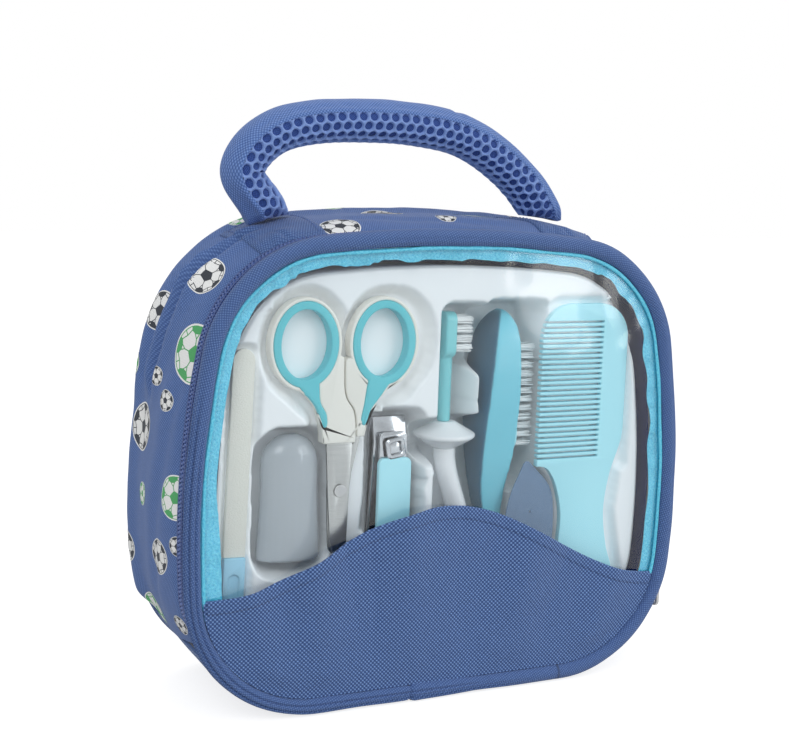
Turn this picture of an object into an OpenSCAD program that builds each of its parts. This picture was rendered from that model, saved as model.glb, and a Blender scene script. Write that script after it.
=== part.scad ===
// Soft manicure case that stands upright, with a clear front cover, a padded
// handle and a moulded tray of tools behind the window.
// X runs along the width, +Y towards the back, +Z up; millimetres.
// The origin lies under the middle of the case, on the plane that it stands on.

/* [Case] */
// Width of the case over its piping
case_w = 200; // [180:1:230]
// Height of the case over its piping
case_h = 173; // [160:1:195]
// Depth of the case over its piping
case_d = 68; // [62:1:84]
// Radius of the two lower corners
corner_low_r = 49; // [40:1:55]
// Radius of the two upper corners
corner_high_r = 49; // [40:1:55]
// Radius of the long bow of each side
side_r = 330; // [260:5:500]
// Height at which the sides are widest
side_mid_z = 68; // [60:1:80]
// Radius of the crown along the top
crown_r = 480; // [380:5:700]
// Radius of the fabric piping round both rims
piping_r = 3.1; // [2.4:0.1:3.6]
// How far the printed band swells past the piping
band_swell = 3.2; // [1:0.2:5]
// Thickness of the outer fabric
fabric_t = 1.2; // [0.8:0.1:1.6]
// Thickness of the foam in the band
foam_t = 2; // [1.2:0.1:2.4]
// Thickness of the lining
lining_t = 0.6; // [0.4:0.1:0.8]
// Thickness of the stiff boards in the back and the bottom
board_t = 1.8; // [1.2:0.1:2.4]

/* [Front cover] */
// Thickness of the clear window
window_t = 0.5; // [0.3:0.1:0.8]
// Width of the satin binding round the window
binding_w = 5.6; // [4:0.2:8]
// Thickness of the satin binding
binding_t = 1; // [0.6:0.1:1.4]
// Height of the pocket at its two ends
pocket_end_z = 42.5; // [36:0.5:50]
// Height of the wave in the pocket's top edge
pocket_wave = 30; // [20:1:36]
// Fall of the pocket's edge from left to right
pocket_fall = 7; // [0:1:12]
// Width of the hem along the pocket's top edge
hem_w = 5; // [3:0.5:8]
// Extra thickness of the folded hem
hem_t = 0.7; // [0.4:0.1:1]

/* [Zip] */
// Width of each half of the zip's coil
coil_w = 1.1; // [0.9:0.1:1.4]
// Thickness of the coil
coil_t = 1.3; // [1:0.1:1.6]
// Space between the two halves of the coil
coil_gap = 1; // [0.8:0.1:1.2]
// Width of the tape that shows beside each half
tape_w = 1.2; // [0.8:0.1:2]
// Thickness of the tape
tape_t = 0.8; // [0.6:0.1:1]
// Angle below level, in the lower corners, at which the zip ends
zip_end_a = 28; // [20:1:40]
// Height of the slider when the zip is shut
slider_z = 50; // [46:1:70]
// Length of the slider
slider_l = 9; // [7:0.5:11]
// Thickness of the slider's two plates
slider_plate_t = 1; // [0.8:0.1:1.2]
// Length of the pull tab
pull_l = 22; // [16:1:28]
// Width of the pull tab
pull_w = 4.4; // [3.4:0.2:5]
// Thickness of the pull tab
pull_t = 1.2; // [0.8:0.1:1.4]

/* [Handle] */
// How far in from the case's left side the handle's left end sits
handle_left_in = 41; // [34:1:50]
// How far in from the case's right side the handle's right end sits
handle_right_in = 46; // [38:1:54]
// Rise of the handle's middle line above its hinge line
handle_rise = 25.5; // [22:0.5:36]
// Thickness of the handle in the plane of its arch
handle_t = 15; // [12:0.5:18]
// Width of the handle, front to back
handle_w = 18; // [14:0.5:22]
// Thickness of the handle's cover and of its mesh
handle_skin = 1.6; // [1:0.1:2.2]
// Width of the stitched tabs that hold the handle
tab_w = 26; // [20:1:30]
// Thickness of the stitched tabs
tab_t = 1.2; // [0.8:0.1:1.6]

/* [Tray] */
// Inset of the tray's face from the outer edge of the case
tray_inset = 12.5; // [11:0.5:14]
// Depth of the tray's face behind the front of the piping
tray_back = 8; // [7.6:0.1:9]
// Thickness of the moulded sheet
tray_t = 0.8; // [0.6:0.1:1.2]
// Space between a tool and the wall of its well
well_gap = 1.2; // [0.8:0.1:2]

/* [Nail file] */
// Width of the file
file_w = 8; // [6:0.5:9]
// Length of the coated part of the file
file_l = 73; // [60:1:78]
// Thickness of the file
file_t = 2; // [1.2:0.1:2.2]
// Length of the file's handle
file_grip_l = 22; // [16:1:26]
// Lean of the file, in degrees
file_lean = 2; // [0:0.1:2.4]

/* [Finger brush] */
// Width of the silicone finger brush at its mouth
sleeve_w = 24; // [20:0.5:24]
// Depth of the finger brush, front to back
sleeve_d = 14; // [11:0.5:15]
// Length of the finger brush
sleeve_l = 45; // [38:1:46]
// Wall of the finger brush
sleeve_wall = 1.6; // [1:0.1:2]

/* [Scissors] */
// Width of each finger loop, outside
loop_w = 27; // [24:0.5:28]
// Height of each finger loop, outside
loop_h = 33; // [29:0.5:34]
// Width of the plastic round each loop
loop_rim = 4.2; // [3.4:0.1:5]
// Thickness of the plastic handles
grip_t = 5; // [3.6:0.1:5.4]
// Thickness of each blade
blade_t = 1.1; // [0.8:0.1:1.2]
// Depth of the coloured inlay in the front of each shank
inlay_t = 2.2; // [1:0.1:2.4]
// Radius of the rivet
rivet_r = 1.4; // [1:0.1:1.8]
// Length of the blades below the rivet
blade_l = 24; // [18:1:26]

/* [Nail clipper] */
// Width of the clipper
clipper_w = 13; // [11:0.5:14]
// Length of the clipper
clipper_l = 56; // [48:1:58]
// Thickness of the clipper's two plates
jaw_t = 1.2; // [0.9:0.1:1.4]
// Radius of the clipper's pin
pin_r = 1.6; // [1.2:0.1:1.8]

/* [Toothbrush] */
// Radius of the toothbrush's handle
brush_grip_r = 4.2; // [3.4:0.1:4.6]
// Radius of the toothbrush's neck
neck_r = 2.4; // [2:0.1:3]
// Diameter of the round guard
guard_d = 23; // [20:0.5:24]
// Length of the toothbrush's bristles
toothbrush_tuft_l = 7; // [5:0.5:7.5]

/* [Hairbrush] */
// Depth of the hairbrush, front to back
hairbrush_d = 22; // [18:0.5:23]
// Length of the hairbrush's bristles
hairbrush_tuft_l = 8; // [6:0.5:9]
// Rows of tufts along the hairbrush
hairbrush_rows = 9; // [7:1:10]

/* [Comb] */
// Width of the comb across its teeth
comb_w = 38; // [36:1:39]
// Thickness of the comb
comb_t = 2.6; // [2:0.1:3]
// Number of teeth
comb_teeth = 27; // [22:1:29]
// Length of the teeth
tooth_l = 27; // [22:1:28]

/* [Hidden] */
$fn = 64;
slack = 0.3;       // space between soft pieces that move past each other
fine = 0.05;       // running clearance of a pin
eps = 1;           // overshoot of a cut

// Places along the depth
front_y = -case_d / 2;
rim_y = front_y + piping_r;                  // middle of the front piping, and the cover's hinge line
rear_rim_y = case_d / 2 - piping_r;
tape_front_y = rim_y + piping_r;             // where the front tape starts
coil_front_y = tape_front_y + tape_w;
coil_rear_y = coil_front_y + coil_w + coil_gap;
tape_rear_y = coil_rear_y + coil_w;
band_front_y = tape_rear_y + tape_w;
band_rear_y = rear_rim_y - piping_r;
zip_inset = piping_r;                        // middle of the tape and coil, in from the outer edge
band_edge_inset = piping_r - fabric_t / 2;   // outer face of the band at its two seams
lining_inset = band_edge_inset + fabric_t + foam_t + 0.1;
panel_inset = 2 * piping_r;
lining_y = band_rear_y + 0.1;                // front face of the back lining
board_y = lining_y + lining_t;
back_y = board_y + board_t;
window_y = rim_y;                            // front face of the window
face_y = front_y + tray_back;                // front face of the tray

// Centres and meeting angles of the arcs in the outline
side_x = case_w / 2 - side_r;
low_x = side_x + sqrt(pow(side_r - corner_low_r, 2) - pow(corner_low_r - side_mid_z, 2));
low_a = atan2(corner_low_r - side_mid_z, low_x - side_x);
crown_z = case_h - crown_r;
gap_v = [0 - side_x, crown_z - side_mid_z];
gap_l = norm(gap_v);
arm_s = side_r - corner_high_r;
arm_c = crown_r - corner_high_r;
foot_l = (arm_s * arm_s - arm_c * arm_c + gap_l * gap_l) / (2 * gap_l);
side_l = sqrt(arm_s * arm_s - foot_l * foot_l);
high_x = side_x + foot_l * gap_v[0] / gap_l - side_l * gap_v[1] / gap_l;
high_z = side_mid_z + foot_l * gap_v[1] / gap_l + side_l * gap_v[0] / gap_l;
side_a = atan2(high_z - side_mid_z, high_x - side_x);
crown_a = atan2(high_z - crown_z, high_x);

// The outline's arcs, anticlockwise from the lower right corner: centre x, centre z, radius, from, to
arcs = [
    [low_x, corner_low_r, corner_low_r, -90, low_a],
    [side_x, side_mid_z, side_r, low_a, side_a],
    [high_x, high_z, corner_high_r, side_a, crown_a],
    [0, crown_z, crown_r, crown_a, 180 - crown_a],
    [-high_x, high_z, corner_high_r, 180 - crown_a, 180 - side_a],
    [-side_x, side_mid_z, side_r, 180 - side_a, 180 - low_a],
    [-low_x, corner_low_r, corner_low_r, 180 - low_a, 270]
];
// The same path where the zip runs, and the two short arcs below it
zip_arcs = [
    for (i = [0:6])
        [
            arcs[i][0], arcs[i][1], arcs[i][2],
            i == 0 ? -zip_end_a : arcs[i][3],
            i == 6 ? 180 + zip_end_a : arcs[i][4]
        ]
];
foot_arcs = [
    [-low_x, corner_low_r, corner_low_r, 180 + zip_end_a, 270],
    [low_x, corner_low_r, corner_low_r, 270, 360 - zip_end_a]
];

// ---- helpers ----

// Stand a flat x-z shape upright between two depths
module slab(y0, y1) {
    translate([0, y1, 0])
        rotate([90, 0, 0])
            linear_extrude(y1 - y0)
                children();
}

// Turn a flat y-z shape into a bar across X, centred on x
module across(x, w) {
    translate([x - w / 2, 0, 0])
        rotate([90, 0, 90])
            linear_extrude(w)
                children();
}

function arc_pts(c, r, from, to, n) =
    [for (i = [0:n]) c + r * [cos(from + (to - from) * i / n), sin(from + (to - from) * i / n)]];

// Points along a list of arcs at an inset; the whole outline is the closed one
arc_steps = 12;
function path_pts(list, inset, n = arc_steps) = [
    for (i = [0:len(list) - 1])
        let (a = list[i])
            for (k = [(i == 0 ? 0 : 1):n])
                [a[0], a[1]] + (a[2] - inset)
                    * [cos(a[3] + (a[4] - a[3]) * k / n), sin(a[3] + (a[4] - a[3]) * k / n)]
];
function outline(inset) = path_pts(arcs, inset);
function reversed(p) = [for (i = [len(p) - 1:-1:0]) p[i]];

// Flat strip between two insets and two depths, along a list of arcs or all round
module strip(list, inset0, inset1, y0, y1) {
    slab(y0, y1)
        polygon(concat(path_pts(list, inset0), reversed(path_pts(list, inset1))));
}
module ring(inset0, inset1, y0, y1) {
    slab(y0, y1)
        difference() {
            polygon(outline(inset0));
            polygon(outline(inset1));
        }
}

function ellipse_pts(c, rx, rz, n = 48) =
    [for (i = [0:n - 1]) c + [rx * cos(360 * i / n), rz * sin(360 * i / n)]];

// Smooth closed curve through a few points
function between(a, b, c, d, t) =
    0.5 * ((2 * b) + (c - a) * t + (2 * a - 5 * b + 4 * c - d) * t * t
        + (3 * b - a - 3 * c + d) * t * t * t);
function smooth(p, n = 6) = [
    for (i = [0:len(p) - 1])
        for (k = [0:n - 1])
            between(
                p[(i + len(p) - 1) % len(p)], p[i], p[(i + 1) % len(p)], p[(i + 2) % len(p)], k / n
            )
];
// Smooth open curve through a few points
function smooth_open(p, n = 6) = concat(
    [
        for (i = [0:len(p) - 2])
            for (k = [0:n - 1])
                between(p[max(i - 1, 0)], p[i], p[i + 1], p[min(i + 2, len(p) - 1)], k / n)
    ],
    [p[len(p) - 1]]
);

// Straight bar with round ends
module bar(a, b, r) {
    d = b - a;
    translate(a) circle(r);
    translate(b) circle(r);
    translate(a)
        rotate(atan2(d[1], d[0]))
            translate([0, -r])
                square([norm(d), 2 * r]);
}

// Box with round corners, from low corner to high corner
module round_box(lo, hi, r) {
    translate([lo[0] + r, lo[1]]) square([hi[0] - lo[0] - 2 * r, hi[1] - lo[1]]);
    translate([lo[0], lo[1] + r]) square([hi[0] - lo[0], hi[1] - lo[1] - 2 * r]);
    for (x = [lo[0] + r, hi[0] - r])
        for (z = [lo[1] + r, hi[1] - r])
            translate([x, z]) circle(r);
}

// Solid through a list of rings that all have the same number of points and turn
// clockwise, as seen from the last ring. The diagonals change over at one point of the
// rings, so that two layers that share a face also share its triangles.
function skin_faces(m, n, joins, turn) = [
    for (j = [0:joins - 1])
        for (i = [0:n - 1])
            let (a = j * n + i, b = j * n + (i + 1) % n, up = ((j + 1) % m - j) * n)
                for (k = [0, 1])
                    i < turn
                        ? (k == 0 ? [a, b, b + up] : [a, b + up, a + up])
                        : (k == 0 ? [a, b, a + up] : [b, b + up, a + up])
];
// An end ring is closed in strips between its first and its last half
function cap_faces(n, base, turned) = [
    for (i = [0:n / 2 - 2])
        let (q = [i, i + 1, n - 2 - i, n - 1 - i])
            for (t = turned ? [[2, 1, 0], [3, 2, 0]] : [[0, 1, 2], [0, 2, 3]])
                [for (k = t) base + q[k]]
];
module loft(rings, turn = -1) {
    n = len(rings[0]);
    m = len(rings);
    t = turn < 0 ? n / 2 : turn;
    polyhedron(
        points = [for (r = rings) for (p = r) p],
        faces = concat(cap_faces(n, 0, true), skin_faces(m, n, m - 1, t), cap_faces(n, (m - 1) * n, false)),
        convexity = 6
    );
}
// The same, with the last ring joined to the first
module closed_loft(rings) {
    polyhedron(
        points = [for (r = rings) for (p = r) p],
        faces = skin_faces(len(rings), len(rings[0]), len(rings), len(rings[0])),
        convexity = 6
    );
}

// ---- the band round the case ----

band_step = 7;        // spacing of the band's rings along the zip
band_cols = 8;        // steps from the front seam to the rear seam
swell_run = 45;       // length over which the swell grows from each end

function arc_len(a) = a[2] * (a[4] - a[3]) * PI / 180;
function run_to(i) = i == 0 ? 0 : run_to(i - 1) + arc_len(zip_arcs[i - 1]);
zip_len = run_to(7);
// Points of the zip's path: x, z, outward x, outward z, distance from the start
band_path = [
    for (i = [0:6])
        let (a = zip_arcs[i], n = ceil(arc_len(a) / band_step))
            for (k = [0:(i == 6 ? n : n - 1)])
                let (t = a[3] + (a[4] - a[3]) * k / n)
                    [
                        a[0] + a[2] * cos(t), a[1] + a[2] * sin(t), cos(t), sin(t),
                        run_to(i) + arc_len(a) * k / n
                    ]
];
function ease(t) = t <= 0 ? 0 : t >= 1 ? 1 : t * t * (3 - 2 * t);
function swell_at(s) = band_swell * ease(min(s, zip_len - s) / swell_run);
// How far the band's face stands out of the outline, at a share of its depth
function band_out(s, t) =
    -band_edge_inset + (band_edge_inset + swell_at(s)) * (1 - pow(abs(2 * t - 1), 2.6));
function band_point(p, t, depth) =
    let (o = band_out(p[4], t) - depth)
        [p[0] + p[2] * o, band_front_y + (band_rear_y - band_front_y) * t, p[1] + p[3] * o];
function band_ring(p, c0, c1, out_d, in_d) = concat(
    [for (j = [c0:c1]) band_point(p, j / band_cols, in_d)],
    [for (j = [c1:-1:c0]) band_point(p, j / band_cols, out_d)]
);

module band_layer(out_d, in_d) {
    loft([for (p = band_path) band_ring(p, 0, band_cols, out_d, in_d)]);
}

module printed_band() {
    color("steelblue")
        band_layer(0, fabric_t);
}

module band_foam() {
    color("gainsboro")
        band_layer(fabric_t + fine, fabric_t + foam_t);
}

module band_lining() {
    color("midnightblue")
        ring(lining_inset, lining_inset + lining_t, band_front_y, lining_y);
}

module bottom_strip(inset0, inset1, y0, y1) {
    strip(foot_arcs, inset0, inset1, y0, y1);
}

// The bottom is one piece from rim to rim: it is the cover's fabric hinge
module bottom_panel() {
    color("steelblue")
        bottom_strip(0, fabric_t, tape_front_y + slack, band_rear_y);
}

module bottom_board() {
    color("dimgray")
        bottom_strip(fabric_t, fabric_t + board_t, band_front_y, band_rear_y);
}

// ---- the back ----

module back_panel() {
    color("royalblue")
        slab(back_y, back_y + fabric_t) polygon(outline(panel_inset));
}

module back_board() {
    color("dimgray")
        slab(board_y, back_y) polygon(outline(panel_inset));
}

module back_lining() {
    color("midnightblue")
        slab(lining_y, board_y) polygon(outline(panel_inset));
}

function rim_ring(a, t, y) = [
    for (i = [0:11])
        let (out = a[2] - piping_r + piping_r * cos(30 * i))
            [a[0] + out * cos(t), y - piping_r * sin(30 * i), a[1] + out * sin(t)]
];
module piping(y) {
    closed_loft([
        for (i = [0:6])
            for (k = [(i == 0 ? 0 : 1):arc_steps])
                rim_ring(arcs[i], arcs[i][3] + (arcs[i][4] - arcs[i][3]) * k / arc_steps, y)
    ]);
}

module rear_piping() {
    color("royalblue") piping(rear_rim_y);
}

module zip_tape_rear() {
    color("navy")
        strip(zip_arcs, zip_inset - tape_t / 2, zip_inset + tape_t / 2, tape_rear_y, band_front_y);
}

module zip_coil_rear() {
    color("slateblue")
        strip(zip_arcs, zip_inset - coil_t / 2, zip_inset + coil_t / 2, coil_rear_y, tape_rear_y);
}

// ---- the front cover ----

module front_piping() {
    color("royalblue") piping(rim_y);
}

module window() {
    color("azure", 0.35)
        slab(window_y, window_y + window_t) polygon(outline(panel_inset));
}

binding_y = window_y + window_t;
module window_binding() {
    color("turquoise")
        ring(panel_inset, panel_inset + binding_w, binding_y, binding_y + binding_t);
}

// Height of the pocket's edge at x
function pocket_z(x) =
    pocket_end_z - pocket_fall * x / case_w
        + pocket_wave * (cos(180 * x / (case_w / 2 - 8)) + 1) / 2;
pocket_xs = [for (i = [-24:24]) i * (case_w / 2) / 24];

// The area below the pocket's edge, lowered by drop
module below_wave(drop) {
    polygon(concat(
        [[case_w / 2, -eps], [-case_w / 2, -eps]],
        [for (i = [0:48]) [pocket_xs[i], pocket_z(pocket_xs[i]) - drop]]
    ));
}

module pocket_panel() {
    color("royalblue")
        slab(window_y - fabric_t, window_y)
            intersection() {
                polygon(outline(panel_inset));
                below_wave(0);
            }
}

module pocket_hem() {
    color("cornflowerblue")
        slab(window_y - fabric_t - hem_t, window_y - fabric_t)
            intersection() {
                polygon(outline(panel_inset));
                difference() {
                    below_wave(0);
                    below_wave(hem_w);
                }
            }
}

module zip_tape_front() {
    color("navy")
        strip(zip_arcs, zip_inset - tape_t / 2, zip_inset + tape_t / 2, tape_front_y, coil_front_y);
}

module zip_coil_front() {
    color("slateblue")
        strip(
            zip_arcs, zip_inset - coil_t / 2, zip_inset + coil_t / 2, coil_front_y, coil_front_y + coil_w
        );
}

// ---- the slider and its pull, on the right side ----

slider_y = coil_front_y + coil_w + coil_gap / 2;        // middle of the zip
slider_w = band_front_y - tape_front_y - 2 * slack;
web_t = coil_gap / 2;
slot_half = coil_t / 2 + slack;                         // half the slot that the coil runs in
slider_a = asin((slider_z - side_mid_z) / side_r);
slider_turn = slider_l / side_r * 180 / PI;
slider_arc = [[side_x, side_mid_z, side_r, slider_a - slider_turn / 2, slider_a + slider_turn / 2]];
bail_inset = zip_inset - slot_half - slider_plate_t;    // outer face of the slider's outer plate
pull_pin_r = 0.5;
pin_gap = 0.1;                                          // space round the pull's pin
bail_in = 2 * (pull_pin_r + pin_gap);                   // free height under the bail
bail_h = bail_in + 0.7;                                 // height of the bail above that face
slider_mid = [
    side_x + (side_r - bail_inset) * cos(slider_a), side_mid_z + side_r * sin(slider_a)
];
pull_x = slider_mid[0] + bail_in / 2;

module zip_slider() {
    color("silver") {
        for (inset = [bail_inset, zip_inset + slot_half])
            strip(
                slider_arc, inset, inset + slider_plate_t, slider_y - slider_w / 2, slider_y + slider_w / 2
            );
        strip(
            slider_arc, bail_inset, zip_inset + slot_half + slider_plate_t,
            slider_y - web_t / 2, slider_y + web_t / 2
        );
        // Bail over the middle of the outer plate
        translate([slider_mid[0] - slider_plate_t / 2, slider_y, slider_mid[1]])
            rotate([90, 0, 0])
                linear_extrude(1.6, center = true)
                    difference() {
                        translate([0, -slider_l / 3])
                            square([bail_h + slider_plate_t / 2, 2 * slider_l / 3]);
                        translate([slider_plate_t / 2 - fine, -slider_l / 3 + 0.8])
                            square([bail_in + fine, 2 * slider_l / 3 - 1.6]);
                    }
    }
}

// The tab hangs from a short pin under the bail
module zip_pull() {
    eye_w = 2.4;
    color("silver")
        translate([pull_x, slider_y, slider_mid[1]]) {
            rotate([90, 0, 0])
                cylinder(r = pull_pin_r, h = pull_w, center = true, $fn = 24);
            for (side = [-1, 1])
                translate([-pull_pin_r, side * (pull_w / 2 - 0.45) - 0.45, -eye_w - slider_l / 3])
                    cube([2 * pull_pin_r, 0.9, eye_w + slider_l / 3]);
            translate([-pull_pin_r, 0, -eye_w - slider_l / 3])
                rotate([0, 90, 0])
                    linear_extrude(pull_t)
                        difference() {
                            union() {
                                translate([0, -pull_w / 2])
                                    square([pull_l - pull_w / 2, pull_w]);
                                translate([pull_l - pull_w / 2, 0]) circle(pull_w / 2);
                            }
                            translate([pull_l - pull_w / 2, 0]) circle(1);
                        }
        }
}

// ---- the handle ----

tab_proud = band_swell + tab_t;                // how far the tabs stand out of the outline
tab_cols = [0, 6];                             // the tabs reach from the front seam past the middle
handle_left_x = -case_w / 2 + handle_left_in;
handle_right_x = case_w / 2 - handle_right_in;

// Height at x of a face that stands proud of the outline's top
function crest_z(x, proud) =
    abs(x) > (crown_r + proud) * cos(crown_a)
        ? high_z + sqrt(pow(corner_high_r + proud, 2) - pow(abs(x) - high_x, 2))
        : crown_z + sqrt(pow(crown_r + proud, 2) - x * x);
handle_axis_z = crest_z(handle_right_x - handle_t / 2, tab_proud) + slack + handle_w / 2;

// Middle line of the arch in x-z: it leans over to the left
arch = smooth_open([
    [handle_left_x - 3.5, handle_axis_z - 6.4],
    [handle_left_x - 11.5, handle_axis_z + 0.27 * handle_rise],
    [handle_left_x + 2, handle_axis_z + 0.82 * handle_rise],
    [0.45 * handle_left_x, handle_axis_z + handle_rise],
    [0.22 * handle_right_x, handle_axis_z + 0.89 * handle_rise],
    [0.68 * handle_right_x, handle_axis_z + 0.39 * handle_rise],
    [handle_right_x - 4, handle_axis_z - 5]
], 5);
arch_n = len(arch);
function arch_dir(i) =
    let (d = arch[min(i + 1, arch_n - 1)] - arch[max(i - 1, 0)]) d / norm(d);

// Below the hinge line the handle is rounded about that line, so that it swings clear of its tabs
function free_r(x) = handle_axis_z - crest_z(x, tab_proud) - slack;
function settled(p) =
    p[2] >= handle_axis_z
        ? p
        : let (
            r = free_r(p[0]),
            drop = min(handle_axis_z - p[2], 0.96 * r),
            half = sqrt(r * r - drop * drop)
        )
            [p[0], p[1] * min(1, half / (handle_w / 2)), handle_axis_z - drop];
// The point of an end ring, carried on along the handle until it meets the tab
function foot_point(p, d) =
    let (fall = handle_axis_z - free_r(p[0]) - p[2])
        settled([p[0] + d[0] / d[1] * fall, p[1], p[2] + fall]);

// One ring of the handle: angles 0 to 180 lie on the outer side of the arch
function handle_ring(i, pts) =
    let (d = arch_dir(i), out = [-d[1], d[0]])
        [for (p = pts) [arch[i][0] + out[0] * p[1], p[0], arch[i][1] + out[1] * p[1]]];
function handle_rings(pts) = concat(
    [[for (p = handle_ring(0, pts)) foot_point(p, arch_dir(0))]],
    [for (i = [0:arch_n - 1]) [for (p = handle_ring(i, pts)) settled(p)]],
    [[for (p = handle_ring(arch_n - 1, pts)) foot_point(p, arch_dir(arch_n - 1))]]
);
function oval(grow, from, to, n) = [
    for (k = [0:n])
        let (a = from + (to - from) * k / n)
            [(handle_w / 2 + grow) * cos(a), (handle_t / 2 + grow) * sin(a)]
];
seam_a = 25;           // the seam between cover and mesh lies this far up the outer side
function shell_section(from, to, n) = concat(oval(-handle_skin, from, to, n), oval(0, to, from, n));

module handle_cover() {
    color("royalblue")
        loft(handle_rings(shell_section(seam_a, 180 - seam_a, 8)));
}

module handle_mesh() {
    color("cornflowerblue")
        loft(handle_rings(shell_section(180 - seam_a, 360 + seam_a, 12)));
}

module handle_foam() {
    section = concat(
        oval(-handle_skin - fine, seam_a, 180 - seam_a, 8),
        [for (k = [1:11]) oval(-handle_skin - fine, 180 - seam_a, 360 + seam_a, 12)[k]]
    );
    color("gainsboro")
        loft(handle_rings(reversed(section)), 0);
}

// Fabric tab on the band under one end of the handle
function top_point(x) =
    let (
        round = abs(x) > crown_r * cos(crown_a),
        c = round ? [sign(x) * high_x, high_z] : [0, crown_z],
        r = round ? corner_high_r : crown_r,
        z = c[1] + sqrt(r * r - pow(x - c[0], 2)),
        out = ([x, z] - c) / r
    )
        [x, z, out[0], out[1], zip_len / 2];
module handle_tab(x) {
    steps = 8;
    color("royalblue")
        loft([
            for (k = [0:steps])
                band_ring(top_point(x + tab_w * (0.5 - k / steps)), tab_cols[0], tab_cols[1], -tab_t, -fine)
        ]);
}

module handle_tab_left() handle_tab(handle_left_x);
module handle_tab_right() handle_tab(handle_right_x);

// ---- places of the tools, seen from the front (x, z) ----

// They are spread over the width, and their heights are taken from the middle of the case
half_w = case_w / 2;
mid_z = case_h / 2;
file_top = [-0.6 * half_w - 17, mid_z + 44.5];
sleeve_foot = [-0.35 * half_w - 22.2, mid_z - 32];
rivet_at = [-0.2 * half_w - 20, mid_z - 7.5];
loop_left = rivet_at + [-14.6, 53];
loop_right = rivet_at + [15.2, 53];
clipper_top = [-18.6, mid_z + 17.5];
toothbrush_at = [0.3 * half_w - 25, mid_z + 9.5];       // middle of the guard
toothbrush_top = toothbrush_at[1] + 46;
hairbrush_edge = 0.45 * half_w - 13;                    // x of the face that carries the bristles
hairbrush_at = [hairbrush_edge, mid_z];
comb_top = [0.5 * half_w + 9.6, mid_z + 58.5];
comb_left = comb_top[0] - comb_w / 2;
comb_right = comb_top[0] + comb_w / 2;
teeth_top = comb_top[1] - 6;
teeth_low = comb_top[1] - 60;

function placed(at, pts) = [for (p = pts) at + p];

// ---- the nail file ----

file_floor = 3.4;                    // depth of the file's well
file_back = face_y + file_floor;

module file_shape(grow) {
    translate([file_top[0], file_top[1] - file_w / 2])
        rotate(-file_lean)
            bar([0, 0], [0, -file_l - file_grip_l + file_w + 1], file_w / 2 + grow);
}

module file_blade() {
    color("ivory")
        slab(file_back - file_t, file_back)
            translate([file_top[0], file_top[1] - file_w / 2])
                rotate(-file_lean) {
                    circle(file_w / 2);
                    translate([-file_w / 2, -file_l + file_w / 2])
                        square([file_w, file_l - file_w / 2]);
                }
}

module file_grip() {
    grip_h = file_t + 0.8;
    color("powderblue")
        translate([file_top[0], 0, file_top[1] - file_w / 2])
            rotate([0, file_lean, 0])
                difference() {
                    slab(file_back - grip_h, file_back) {
                        translate([-file_w / 2, -file_l - file_grip_l + file_w])
                            square([file_w, file_grip_l - file_w / 2]);
                        translate([0, -file_l - file_grip_l + file_w]) circle(file_w / 2);
                    }
                    slab(file_back - grip_h - eps, file_back - grip_h + 0.7)
                        bar([0, -file_l - 4], [0, -file_l - 14], file_w / 4);
                }
}

// ---- the silicone finger brush ----

sleeve_floor = sleeve_d + 1;
sleeve_mid_y = face_y + sleeve_floor - sleeve_d / 2;
// Share of the mouth's width at a share of the length
function sleeve_share(t) =
    (1 - 0.1 * ease(t / 0.55)) * (t < 0.78 ? 1 : sqrt(max(0.04, 1 - pow((t - 0.78) / 0.23, 2))));
function sleeve_ring(t, inset, z) = [
    for (i = [0:23])
        let (a = -15 * i)
            [
                sleeve_foot[0] + (sleeve_w / 2 * sleeve_share(t) - inset) * cos(a),
                sleeve_mid_y + (sleeve_d / 2 * sleeve_share(t) - inset) * sin(a),
                z
            ]
];
sleeve_steps = [0, 0.05, 0.3, 0.55, 0.78, 0.86, 0.92, 0.97, 1];

module finger_brush() {
    color("lightgray", 0.8) {
        difference() {
            loft([for (t = sleeve_steps) sleeve_ring(t, 0, sleeve_foot[1] + t * sleeve_l)]);
            loft([
                for (t = [0, 0.3, 0.55, 0.78, 0.86])
                    sleeve_ring(t, sleeve_wall, sleeve_foot[1] - (t == 0 ? eps : 0) + t * sleeve_l)
            ]);
        }
        // Cleaning nubs on the side that faces the tray
        for (ix = [-2:2])
            for (iz = [0:3])
                translate([
                    sleeve_foot[0] + ix * 2.6, sleeve_mid_y + sleeve_d / 2 - 1.9,
                    sleeve_foot[1] + sleeve_l * 0.5 + iz * 3
                ])
                    rotate([-90, 0, 0])
                        cylinder(r = 0.6, h = 1.9, $fn = 16);
    }
}

module sleeve_shape(grow) {
    g = sleeve_w / 2 + grow;
    translate(sleeve_foot)
        round_box([-g, -grow - 2], [g, sleeve_l + grow], 8);
}

// ---- the scissors ----

scissor_floor = grip_t + 1;
scissor_back = face_y + scissor_floor;              // floor of the well
grip_y0 = scissor_back - slack - grip_t;            // front of the plastic handles
blade_front_y = grip_y0 + (grip_t - 2 * blade_t) / 2;
blade_rear_y = blade_front_y + blade_t + 2 * fine;
ring_proud = 0.2;
half_gap = 0.5;                                     // space between the two handles
swing_room = 3.2;                                   // room beside the right loop for its swing

shell_low = [17.5, 19.5];                           // lower ends of the two handles, above the rivet

// The line between the two handles, from the loops down to the blades
mid_line = placed(rivet_at, smooth_open([
    [0.2, 63], [0.3, 41], [1.2, 34], [4.2, 29], [5.2, 23], [5.2, 16]
]));

module left_of_mid(gap) {
    polygon(concat(
        placed(rivet_at, [[-50, 63], [-50, 16]]),
        [for (i = [len(mid_line) - 1:-1:0]) mid_line[i] - [gap / 2, 0]]
    ));
}

module right_of_mid(gap) {
    polygon(concat(placed(rivet_at, [[70, 16], [70, 63]]), [for (p = mid_line) p + [gap / 2, 0]]));
}

module loop_oval(c, inset, grow = 0) {
    polygon(ellipse_pts(c, loop_w / 2 - inset + grow, loop_h / 2 - inset + grow));
}

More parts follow.
